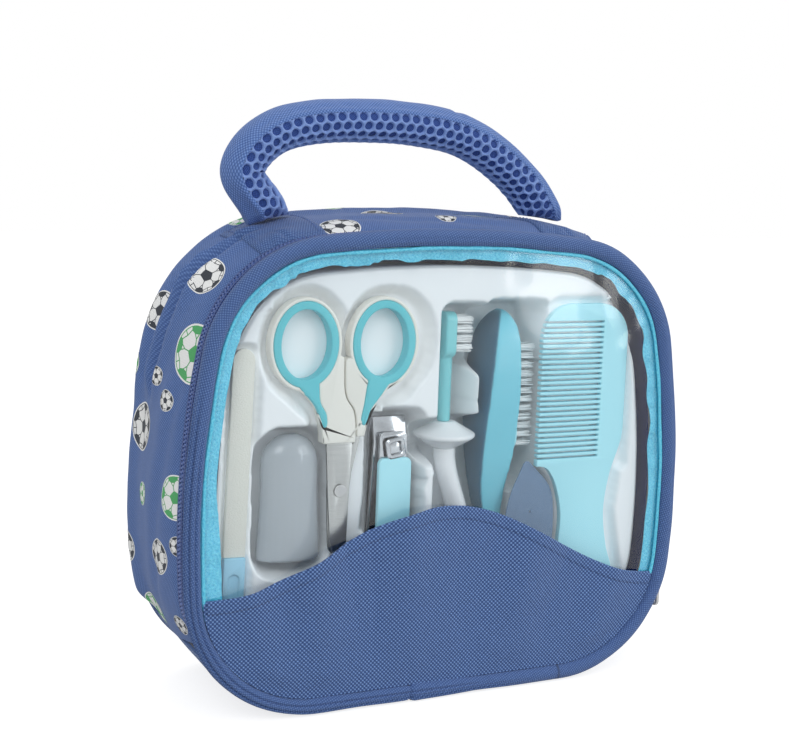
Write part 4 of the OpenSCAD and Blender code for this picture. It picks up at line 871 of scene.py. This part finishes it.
# inside and bottom of the case
bottom = {"rows": 150, "cols": 40, "front": -27.4, "rear": 27.3, "outer": 0.37, "inner": 1.15,
          "endDeg": 1.5}
below = case["zipEndDeg"] + bottom["endDeg"]
footTable = outlineTable([(*arcs[-1][:3], 180 + below, 270), (*arcs[0][:3], -90, -below)], False)
run = np.linspace(0, footTable["length"], bottom["rows"])[:, None]
y = np.linspace(bottom["front"], bottom["rear"], bottom["cols"])[None]
sag = 0.25 * waves(run, y, 34, 71) * smoothStep((27 - abs(y)) / 8)
layers = [insetPoints(footTable, run, inset, y) for inset in (bottom["outer"] + sag, bottom["inner"])]
bottomPiece = addLayers("bottom_cloth", "case", oxfordCloth, ["bottom_panel"], layers,
                        stacked(run, y, 0.0))


# lining and foam follow the band a little way in
def innerShell(name, node, material, insets, span, closed):
    table = rimPath if closed else zipPath
    run = np.linspace(0, table["length"], 240, endpoint=not closed)[:, None]
    y = np.linspace(*span, 14)[None]
    layers = [insetPoints(table, run, inset(run, y) if callable(inset) else inset, y) for inset in insets]
    flat = stacked(run, y, 0.0)
    return addLayers(name, "case", material, [node], layers, flat, wrap=(closed, False))


def underBand(extra, limit):
    def inset(run, y):
        return np.minimum(extra - bandOut(run, (y - band["frontY"]) / bandDepth), limit)
    return inset


foamInsets = (underBand(2.9, 5.2), underBand(4.4, 5.7))
foamPiece = innerShell("band_foam_pad", "band_foam", foamPad, foamInsets, (-22.1, 27.6), False)
liningPiece = innerShell("band_lining_cloth", "band_lining", liningCloth, (5.85, 6.35),
                         (-22.1, 27.85), True)
cadNodes["bottom_board"].data.materials.clear()
cadNodes["bottom_board"].data.materials.append(boardSheet)
print("inside done")


# handle: foam core in a stretched cover, with spacer mesh on its inner side
handle = {"leftX": -59.0, "rightX": 54.0, "axisZ": 184.46, "rise": 25.5, "wide": 9.0, "thick": 7.5,
          "seamDeg": 25, "skin": 1.5, "rows": 260, "coverCols": 40, "meshCols": 56, "seamLap": 0.06}


# a smooth line through some points
def throughPoints(points, steps):
    p = np.array(points, float)
    ends = np.vstack([2 * p[0] - p[1], p, 2 * p[-1] - p[-2]])
    t = (np.arange(steps) / steps)[:, None]
    out = []
    for a, b, c, d in zip(ends, ends[1:], ends[2:], ends[3:]):
        bend = (2 * a - 5 * b + 4 * c - d) * t**2 + (3 * b - a - 3 * c + d) * t**3
        out.append(0.5 * (2 * b + (c - a) * t + bend))
    return np.vstack([*out, p[-1:]])


axisZ, rise, leftX, rightX = (handle[k] for k in ("axisZ", "rise", "leftX", "rightX"))
archPoints = throughPoints([
    (leftX - 0.5, axisZ - 12.5), (leftX - 3.5, axisZ - 6.4), (leftX - 11.5, axisZ + 0.27 * rise),
    (leftX + 2, axisZ + 0.82 * rise), (0.45 * leftX, axisZ + rise), (0.22 * rightX, axisZ + 0.89 * rise),
    (0.68 * rightX, axisZ + 0.39 * rise), (rightX - 4, axisZ - 5), (rightX - 0.5, axisZ - 12),
], 60)
archRun = np.concatenate([[0], np.cumsum(np.hypot(*np.diff(archPoints, axis=0).T))])
archLength = archRun[-1]


def archAt(run):
    steps = (-1.5, 0, 1.5)
    spots = [[np.interp(run + step, archRun, archPoints[:, k]) for k in range(2)] for step in steps]
    dx, dz = spots[2][0] - spots[0][0], spots[2][1] - spots[0][1]
    size = np.hypot(dx, dz)
    return *spots[1], -dz / size, dx / size


# height of the case's top at x, raised by proud
def crestZ(x, proud):
    highX, highZ = arcs[2][0], arcs[2][1]
    crownZ, crownA = arcs[3][1], math.radians(arcs[3][3])
    onCrown = crownZ + np.sqrt(np.maximum((case["crownR"] + proud) ** 2 - x**2, 0))
    onCorner = highZ + np.sqrt(np.maximum((case["cornerR"] + proud) ** 2 - (abs(x) - highX) ** 2, 0))
    return np.where(abs(x) > (case["crownR"] + proud) * math.cos(crownA), onCorner, onCrown)


# below its axis the handle keeps to the room that its swing leaves over the case
def onHandle(run, angle, lift):
    x, z, outX, outZ = archAt(run)
    pinch = 1 - 0.10 * hump(run, 16) - 0.06 * hump(archLength - run, 14)
    across = (handle["wide"] * pinch + lift) * np.cos(angle)
    height = (handle["thick"] + lift) * np.sin(angle)
    px, py, pz = np.broadcast_arrays(x + outX * height, across, z + outZ * height)
    free = axisZ - crestZ(px, 5.1) - 0.3
    drop = np.minimum(axisZ - pz, 0.96 * free)
    half = np.sqrt(np.maximum(free**2 - drop**2, 0.01))
    low = pz < axisZ
    py = np.where(low, py * np.minimum(1, half / handle["wide"]), py)
    return stacked(px, py, np.where(low, axisZ - drop, pz))


# length round the section from the angle 0, for a weave and for the mesh's cells
sectionAngles = np.radians(np.linspace(0, 400, 1600))
sectionSteps = np.hypot(np.diff(handle["wide"] * np.cos(sectionAngles)),
                        np.diff(handle["thick"] * np.sin(sectionAngles)))
sectionReach = np.concatenate([[0], np.cumsum(sectionSteps)])


def angleAt(reach):
    return np.interp(reach, sectionReach, sectionAngles)


def reachAt(angle):
    return np.interp(angle, sectionAngles, sectionReach)


seamA = math.radians(handle["seamDeg"])
coverEnds = (seamA - handle["seamLap"], math.pi - seamA + handle["seamLap"])
run = np.linspace(0, archLength, handle["rows"])[:, None]
angle = np.linspace(*coverEnds, handle["coverCols"])[None]
reach = reachAt(angle)
fromSeam = np.minimum(reach - reachAt(coverEnds[0]), reachAt(coverEnds[1]) - reach)
pucker = 0.5 + 0.5 * np.sin(run / 1.75 + 2 * waves(run, 0 * angle, 16, 81))
endFold = hump(run, 20) + hump(archLength - run, 20)
lift = 0.35 + 0.28 * waves(run, reach * 1.2, 34, 82) + 0.10 * waves(run, reach, 12, 83)
lift = lift + 0.55 * hump(fromSeam - 1.0, 0.9) * (0.55 + 0.45 * pucker)
lift = lift - 0.30 * hump(fromSeam - 3.0, 1.1) * pucker
lift = lift + 0.5 * endFold * np.sin(reach / 1.15 + run / 9)
lift = lift - 0.8 * hump(run - 0.66 * archLength, 1.6) * hump(angle - 1.9, 0.35)
layers = [onHandle(run, angle, rise) for rise in (np.clip(lift, -0.35, 1.3), -handle["skin"])]
coverPiece = addLayers("handle_cover_cloth", "handle", handleCloth, ["handle_cover"], layers,
                       stacked(run, reach, 0.0), 60)

# ground net of the spacer mesh, and over it the bright strands with their round holes
airMesh = {"pitch": 4.15, "hole": 1.72, "fullShare": 0.62, "deep": 0.95, "groundLift": -0.75,
           "groundBack": -1.58, "strandLift": 0.25, "corners": 12}
angle = np.linspace(math.pi - seamA, 2 * math.pi + seamA, handle["meshCols"])[None]
groundFront = airMesh["groundLift"] + 0.06 * waves(run, reachAt(angle), 9, 84)
layers = [onHandle(run, angle, rise) for rise in (groundFront, airMesh["groundBack"])]
groundPiece = addLayers("handle_mesh_ground", "handle", airMeshGround, ["handle_mesh"], layers,
                        stacked(run, reachAt(angle), 0.0), 60)

# a six-sided cell whose sides carry the extra points that its round hole needs, ring by ring inwards
pitch = airMesh["pitch"]
cellTurn = roundTurn(airMesh["corners"]) + math.pi / 6
cellReach = (pitch / 2) / np.cos(((cellTurn + math.pi / 6) % (math.pi / 3)) - math.pi / 6)
roundR = airMesh["hole"] / airMesh["fullShare"]
cellRings = ((cellReach, -0.02), (0.55 * cellReach + 0.45 * 0.86 * roundR, 0.16), (0.70 * roundR, 0.10),
             (0.60 * roundR, -0.35), (0.56 * roundR, -airMesh["deep"]))
cellSpots = []
for reach, lift in cellRings:
    reach = np.minimum(reach, cellReach)
    lift = lift + airMesh["strandLift"]
    cellSpots.append(stacked(reach * np.cos(cellTurn), reach * np.sin(cellTurn), lift))
cellU, cellV, cellLift = np.concatenate(cellSpots).T
reachLow, reachHigh = reachAt(math.pi - seamA) + 0.2, reachAt(2 * math.pi + seamA) - 0.2
rowStep = pitch * math.sqrt(3) / 2
rowsOfCells = int((reachHigh - reachLow) / rowStep)
spare = (reachHigh - reachLow - rowsOfCells * rowStep) / 2
cells, flats = [], []
for row in range(rowsOfCells + 1):
    for k in range(int(archLength / pitch) + 1):
        middle = (k + (0.9 if row % 2 else 0.4)) * pitch
        if middle > archLength - 0.3 * pitch:
            continue
        u = np.clip(middle + cellU, 0, archLength)
        v = np.clip(reachLow + spare + row * rowStep + cellV, reachLow, reachHigh)
        cells.append(onHandle(u, angleAt(v), cellLift + 0.10 * waves(u, v, 21, 85)))
        flats.append(stacked(u, v, 0.0))
strands = manyShapes(cells, rodFaces(len(cellRings), airMesh["corners"], False))
mesh = buildMesh("handle_mesh_strands", *strands, 80)
addPiece("handle_mesh_strands", mesh, "handle", airMeshTop, (), np.concatenate(flats))

core = onHandle(np.linspace(0.3, archLength - 0.3, 120)[:, None], roundTurn(32)[None], -1.75)
mesh = buildMesh("handle_foam_core", *closedTube(core))
corePiece = addPiece("handle_foam_core", mesh, "handle", foamPad, ["handle_foam"])
print("handle done:", rowsOfCells + 1, "rows of mesh cells")


# a stitch is a short rounded thread: share of its length, width and lift
stitchShape = ((-0.5, 0.35, -0.1), (-0.3, 0.9, 0.12), (0.0, 1.0, 0.2), (0.3, 0.9, 0.12), (0.5, 0.35, -0.1))


def stitchPiece(name, lines, body, spacing=2.6, length=1.7, thick=0.32):
    turn, stitches = roundTurn(6)[:, None], []
    for line, normals in lines:
        steps = np.concatenate([[0], np.cumsum(np.linalg.norm(np.diff(line, axis=0), axis=1))])
        for s in np.arange(spacing / 2, steps[-1], spacing):
            wanted = ((line, s), (line, s + 0.4), (line, s - 0.4), (normals, s))
            at, ahead, behind, normal = (np.array([np.interp(place, steps, values[:, k]) for k in range(3)])
                                         for values, place in wanted)
            along = (ahead - behind) / np.linalg.norm(ahead - behind)
            normal = normal - along * (normal @ along)
            normal = normal / np.linalg.norm(normal)
            rim = (np.cross(along, normal) * np.cos(turn) + normal * np.sin(turn)) * thick / 2
            stitches.append(np.concatenate([at + along * share * length + rim * size + normal * lift
                                            for share, size, lift in stitchShape]))
    mesh = buildMesh(name, *manyShapes(stitches, rodFaces(5, 6)), 80)
    return addPiece(name, mesh, body, sewingThread)


# tabs: cloth sewn on the band under each end of the handle
tabs = {"width": 26, "depth": 39.0, "start": 0.3, "lift": 1.15, "rows": 40, "cols": 56, "seam": 2.4}
stitchLines = []
for name, middleX in (("handle_tab_left", leftX), ("handle_tab_right", rightX)):
    upper = zipPath["rows"][:, 1] > 130
    middleRun = float(np.interp(-middleX, -zipPath["rows"][upper, 0], zipPath["run"][upper]))
    u = np.linspace(-0.5, 0.5, tabs["rows"])[:, None] * tabs["width"]
    v = tabs["start"] + np.linspace(0, 1, tabs["cols"])[None] * tabs["depth"]
    edge = np.minimum(tabs["width"] / 2 - abs(u), np.minimum(v, tabs["depth"] + tabs["start"] - v))
    puff = tabs["lift"] * (0.45 + 0.55 * smoothStep(edge / 1.6)) - 0.25 * hump(edge - tabs["seam"], 0.7)
    # the handle's cloth is gathered into a fold that runs on to the front seam
    fold = hump(u - 3, 6.5) * smoothStep((11.5 - v) / 6) * smoothStep((v + 1.5) / 3)
    fold = fold * (1.5 - 1.0 * hump(u - 1 - 0.35 * v, 1.0) - 0.8 * hump(u - 8 + 0.2 * v, 0.8))
    puff = puff + 0.10 * waves(u, v, 12, 91) + fold
    layers = [onBand(middleRun + u, v, lift) for lift in (puff, 0.03)]
    flat = stacked(u, v, 0.0)
    piece = addLayers(name + "_cloth", "case", pipingCloth, [name], layers, flat, 75)
    side = tabs["width"] / 2 - tabs["seam"]
    down, across = np.linspace(3.0, tabs["depth"] - tabs["seam"], 40), np.linspace(-side, side, 30)
    for u, v in ((-side, down), (side, down), (across, tabs["depth"] - 2.2)):
        u, v = np.broadcast_arrays(middleRun + u, v)
        line, lifted = (onBand(u, v, tabs["lift"] * 0.9 + up) for up in (0, 1))
        stitchLines.append((line, lifted - line))
stitchPiece("tab_stitches", stitchLines, "case")
print("tabs done")


# tray: the front of the solid is felt out on a grid, then its edges are rounded as a formed sheet's are
tray = {"inset": 13.4, "faceY": -26.0, "backY": 27.8, "cols": 400, "rows": 350, "soften": 7, "draft": 3.0,
        "draftCells": 7, "cell": 0.46}


solid = cadNodes["tray"].data
trayTree = BVHTree.FromPolygons([v.co[:] for v in solid.vertices], [p.vertices[:] for p in solid.polygons])
x, z, share = filledOutline(tray["cols"], tray["rows"], tray["inset"] + 0.1)
depth = np.full(x.shape, tray["faceY"])
for i in range(tray["rows"]):
    for j in range(tray["cols"]):
        hit = trayTree.ray_cast(Vector((x[i, j] * mm, -0.05, z[i, j] * mm)), Vector((0, 1, 0)))[0]
        if hit is not None:
            depth[i, j] = min(hit.y / mm, tray["backY"] - 1.5)
# formed walls lean outwards towards the front, the deeper the well the more
wellDepth = depth - tray["faceY"]
reach = drafted = wellDepth
for step in range(1, tray["draftCells"] + 1):
    padded = np.pad(reach, 1, mode="edge")
    grown = reach
    for di in range(3):
        for dj in range(3):
            if step % 2 or di == 1 or dj == 1:
                grown = np.maximum(grown, padded[di : di + reach.shape[0], dj : dj + reach.shape[1]])
    reach = grown
    room = np.minimum(tray["draftCells"], 0.55 * reach / tray["cell"])
    drafted = np.maximum(drafted, reach * np.clip(1 - step / np.maximum(room, 0.5), 0, 1))
depth = tray["faceY"] + drafted
for _ in range(tray["soften"]):
    padded = np.pad(depth, 1, mode="edge")
    depth = (padded[:-2, 1:-1] + padded[2:, 1:-1] + padded[1:-1, :-2] + padded[1:-1, 2:] + 2 * depth) / 6
depth = depth + 0.06 * waves(x, z, 40, 101) + 0.9 * smoothStep((share - 0.985) / 0.015)
backX, backZ, _ = filledOutline(tray["cols"], tray["rows"], tray["inset"] + tray["draft"])
layers = (stacked(x, depth, z), stacked(backX, tray["backY"], backZ))
addLayers("tray_formed", "case", trayPlastic, ["tray"], layers, None, 65)

# painted shade: a slate-blue sheet laid in the finger recess darkens it as the deep recess's shade would
recess = {"y": -23.6, "thickness": 0.5, "points": [(37, 85), (41, 82), (48, 74), (50, 62), (49, 50), (42, 45),
                                                  (34, 47), (29, 58), (30, 70), (34, 80)]}
outline = throughPoints(recess["points"] + recess["points"][:3], 8)[8:-8]
middle = outline.mean(0)
rings = np.array([middle + (outline - middle) * s for s in (1.0, 0.75, 0.5, 0.25, 0.03)])
x, z = rings[..., 0], rings[..., 1]
uneven = 0.12 * waves(x, z, 11, 103)
points = np.array([stacked(x, y + uneven, z) for y in (recess["y"], recess["y"] + recess["thickness"])])
points = points.reshape(-1, 3)
mesh = buildMesh("recess_shade_sheet", points, layerFaces(*x.shape, False, True))
addPiece("recess_shade_sheet", mesh, "case", recessShadeCloth, (), points[:, [0, 2, 1]])
print("tray done")


# hard parts: the solid's mesh with its flats joined and its edges broken
def brokenEdges(node, body, material, width, segments=2):
    edit = bmesh.new()
    edit.from_mesh(cadNodes[node].data)
    bmesh.ops.remove_doubles(edit, verts=edit.verts, dist=2e-6)
    bmesh.ops.dissolve_limit(edit, angle_limit=math.radians(0.6), verts=edit.verts, edges=edit.edges)
    rims = [e for e in edit.edges if len(e.link_faces) == 2 and e.calc_face_angle(0) > math.radians(30)]
    bmesh.ops.bevel(edit, geom=rims, offset=width * mm, offset_type="OFFSET", segments=segments,
                    profile=0.55, affect="EDGES", clamp_overlap=False)
    mesh = meshFrom(edit, node + "_part")
    shadeSmooth(mesh, 38)
    addPiece(node + "_part", mesh, body, material, [node])


# blown or turned parts: remeshed finely and relaxed, so that facets go and edges round over
def relaxed(node, body, material, voxel, rounds):
    piece = bpy.data.objects.new(node + "_part", cadNodes[node].data.copy())
    bpy.context.scene.collection.objects.link(piece)
    remesh = piece.modifiers.new("remesh", "REMESH")
    remesh.mode = "VOXEL"
    remesh.voxel_size = voxel * mm
    smooth = piece.modifiers.new("smooth", "SMOOTH")
    smooth.factor = 0.5
    smooth.iterations = rounds
    view = bpy.context.evaluated_depsgraph_get()
    mesh = bpy.data.meshes.new_from_object(piece.evaluated_get(view))
    bpy.data.objects.remove(piece)
    shadeSmooth(mesh)
    addPiece(node + "_part", mesh, body, material, [node])


# nail file
brokenEdges("file_blade", "case", fileGrit, 0.3)
brokenEdges("file_grip", "case", filePlastic, 0.45, 3)

# silicone finger brush
relaxed("finger_brush", "case", greySilicone, 0.5, 10)

# scissors
for side, body in (("left", "case"), ("right", "scissor_half")):
    brokenEdges("scissor_shell_" + side, body, scissorPlastic, 0.55, 3)
    brokenEdges("scissor_ring_" + side, body, scissorInlay, 0.5, 3)
    brokenEdges("scissor_blade_" + side, body, bladeSteel, 0.14, 2)
brokenEdges("scissor_rivet", "case", nickelPlate, 0.18, 3)

# nail clipper
brokenEdges("clipper_jaw_upper", "case", chromePlate, 0.16)
brokenEdges("clipper_jaw_lower", "case", chromePlate, 0.16)
brokenEdges("clipper_pin", "case", chromePlate, 0.15)
brokenEdges("clipper_lever", "clipper_lever", chromePlate, 0.22)
brokenEdges("clipper_cover", "clipper_lever", palePlastic, 0.5, 3)

# toothbrush and hairbrush
relaxed("toothbrush_grip", "case", whitePlastic, 0.45, 8)
relaxed("toothbrush_guard", "case", whitePlastic, 0.4, 6)
relaxed("toothbrush_neck", "case", neckPlastic, 0.35, 6)
relaxed("hairbrush_body", "case", brushPlastic, 0.6, 14)
brokenEdges("hairbrush_pad", "case", palePlastic, 0.3)
brokenEdges("comb", "case", palePlastic, 0.22)
brokenEdges("zip_slider", "zip_slider", nickelPlate, 0.25, 3)
brokenEdges("zip_pull", "zip_pull", nickelPlate, 0.2, 3)
print("tools done")

# bristles: bundles of tapered filaments, splayed a little
bristles = {"tooth": {"x": 6.5, "midY": -16.4, "topZ": 139, "step": 3.5, "rows": 4, "across": 2.6, "cols": 3,
                      "tuft": 1.25, "length": 7.0, "fibres": 46, "thick": 0.34, "splay": 0.25},
            "hair": {"x": 33.4, "midY": -14.4, "topZ": 128.2, "step": 3.32, "rows": 12, "across": 3.4, "cols": 4,
                     "tuft": 1.0, "length": 6.6, "fibres": 22, "thick": 0.36, "splay": 0.4}}


def bristlePiece(name, node, sizes, seed):
    rng = np.random.default_rng(seed)
    turn, fibres = roundTurn(5), []
    rim = stacked(0.0, np.cos(turn), np.sin(turn)) * sizes["thick"] / 2
    for row in range(sizes["rows"]):
        for col in range(sizes["cols"]):
            y0 = sizes["midY"] + (col - (sizes["cols"] - 1) / 2) * sizes["across"]
            z0 = sizes["topZ"] - row * sizes["step"]
            for _ in range(sizes["fibres"]):
                a, r = rng.uniform(0, 2 * math.pi), math.sqrt(rng.uniform(0, 1))
                outward = np.array([0, math.cos(a), math.sin(a)]) * r
                root = outward * sizes["tuft"] + (sizes["x"], y0, z0)
                lean = outward * sizes["splay"] + (0, *rng.normal(0, 0.10, 2))
                reach = sizes["length"] * rng.uniform(0.93, 1.0)
                fibres.append(np.concatenate([root + (reach * share, 0, 0) + lean * share**1.6 + rim * size
                                              for share, size in ((0, 1.0), (0.6, 0.95), (1.0, 0.45))]))
    mesh = buildMesh(name, *manyShapes(fibres, rodFaces(3, 5)), 80)
    addPiece(name, mesh, "case", bristleNylon, [node])


bristlePiece("toothbrush_filaments", "toothbrush_bristles", bristles["tooth"], 5)
bristlePiece("hairbrush_filaments", "hairbrush_bristles", bristles["hair"], 6)
print("bristles done")

# clipper head: a stamped square frame round the pin, turned a little
clipperHead = {"x": -18.6, "z": 93.4, "front": -24.55, "outer": 3.5, "inner": 2.1, "thick": 0.7,
               "turnDeg": 10}
outer, inner, thick = (clipperHead[k] for k in ("outer", "inner", "thick"))
edit = bmesh.new()
loops = []
section = ((outer, 0.0), (outer - 0.4, -0.35), (inner + 0.3, -0.35), (inner, 0.0), (inner, thick),
           (outer, thick))
for reach, y in section:
    loop = []
    for k in range(4):
        for cut in (-9, 9):
            a = math.radians(45 + 90 * k + cut + clipperHead["turnDeg"])
            x = clipperHead["x"] + reach * 1.3 * math.cos(a)
            z = clipperHead["z"] + reach * 1.3 * math.sin(a)
            loop.append(edit.verts.new((x * mm, (clipperHead["front"] + y) * mm, z * mm)))
    loops.append(loop)
for low, high in zip(loops, loops[1:] + loops[:1]):
    for k in range(8):
        edit.faces.new((low[k], high[k], high[(k + 1) % 8], low[(k + 1) % 8]))
bmesh.ops.recalc_face_normals(edit, faces=edit.faces)
mesh = meshFrom(edit, "clipper_head_frame")
shadeSmooth(mesh, 30)
addPiece("clipper_head_frame", mesh, "case", chromePlate)


# floor, world, lamps and camera
# rays by which the camera sees a surface: straight, in a mirror or through the film
def seenDirect(tree):
    rays = addNode(tree, "ShaderNodeLightPath").outputs
    seen = sum2(tree, rays["Is Camera Ray"], rays["Is Glossy Ray"], "MAXIMUM")
    return sum2(tree, seen, rays["Is Transmission Ray"], "MAXIMUM")


studio = {"floorShade": "#bcbcbc", "floorGlow": 0.76, "worldLevel": 0.6, "keyPower": 7.4, "fillPower": 5.8,
          "topPower": 1.6, "stripPower": 0.8}
white = (1, 1, 1, 1)
floorPaper = bpy.data.materials.new("matt paper, white")
tree = emptyTree(floorPaper)
paper = addNode(tree, "ShaderNodeBsdfDiffuse", {"Color": hexColour(studio["floorShade"])})
strength = sum2(tree, seenDirect(tree), studio["floorGlow"], "MULTIPLY")
glow = addNode(tree, "ShaderNodeEmission", {"Color": white, "Strength": strength})
both = addNode(tree, "ShaderNodeAddShader", {0: paper.outputs[0], 1: glow.outputs[0]})
addNode(tree, "ShaderNodeOutputMaterial", {"Surface": both.outputs[0]})
edit = bmesh.new()
bmesh.ops.create_grid(edit, x_segments=8, y_segments=8, size=3.0)
mesh = meshFrom(edit, "studio_floor")
mesh.materials.append(floorPaper)
floorPiece = bpy.data.objects.new("studio_floor", mesh)
floorPiece.location = (0, 0, -0.0004)
bpy.context.scene.collection.objects.link(floorPiece)

world = bpy.data.worlds.new("studio")
bpy.context.scene.world = world
tree = emptyTree(world)
levels = {"Value": seenDirect(tree), "To Min": studio["worldLevel"], "To Max": 1.0}
level = addNode(tree, "ShaderNodeMapRange", levels)
sky = addNode(tree, "ShaderNodeBackground", {"Color": white, "Strength": level.outputs["Result"]})
addNode(tree, "ShaderNodeOutputWorld", {"Surface": sky.outputs[0]})


def addLamp(name, place, target, size, power):
    lamp = bpy.data.lights.new(name, "AREA")
    lamp.shape = "RECTANGLE"
    lamp.size, lamp.size_y = size
    lamp.energy = power
    holder = bpy.data.objects.new(name, lamp)
    holder.location = place
    holder.rotation_euler = (Vector(target) - Vector(place)).to_track_quat("-Z", "Y").to_euler()
    bpy.context.scene.collection.objects.link(holder)


addLamp("key", (-0.75, -1.15, 1.15), (0, 0, 0.09), (1.0, 0.8), studio["keyPower"])
addLamp("fill", (1.1, -1.0, 0.55), (0, 0, 0.09), (0.9, 0.9), studio["fillPower"])
addLamp("top", (0.1, 0.6, 1.3), (0, 0, 0.1), (0.9, 0.6), studio["topPower"])
addLamp("strip", (0.62, -0.95, 0.22), (0, 0, 0.13), (0.10, 0.7), studio["stripPower"])

view = {"azimuth": -24.9, "elevation": 8.4, "roll": 1.9, "place": (-0.2354, -0.4720, 0.1951),
        "focal": 1404, "width": 789, "shift": (0.0237, 0.0019)}
turn, tilt, roll = (math.radians(view[k]) for k in ("azimuth", "elevation", "roll"))
right = Vector((math.cos(turn), math.sin(turn), 0))
ahead = Vector((-math.sin(turn) * math.cos(tilt), math.cos(turn) * math.cos(tilt), -math.sin(tilt)))
up = right.cross(ahead)
cameraRight = math.cos(roll) * right + math.sin(roll) * up
cameraUp = -math.sin(roll) * right + math.cos(roll) * up
lens = bpy.data.cameras.new("camera")
lens.sensor_width = 36.0
lens.lens = view["focal"] / view["width"] * 36.0
lens.shift_x, lens.shift_y = view["shift"]
lens.clip_start = 0.01
camera = bpy.data.objects.new("camera", lens)
axes = Matrix((cameraRight, cameraUp, -ahead)).transposed()
camera.matrix_world = Matrix.Translation(view["place"]) @ axes.to_4x4()
bpy.context.scene.collection.objects.link(camera)
bpy.context.scene.camera = camera
bpy.context.scene.view_settings.view_transform = "Standard"
print("studio done")
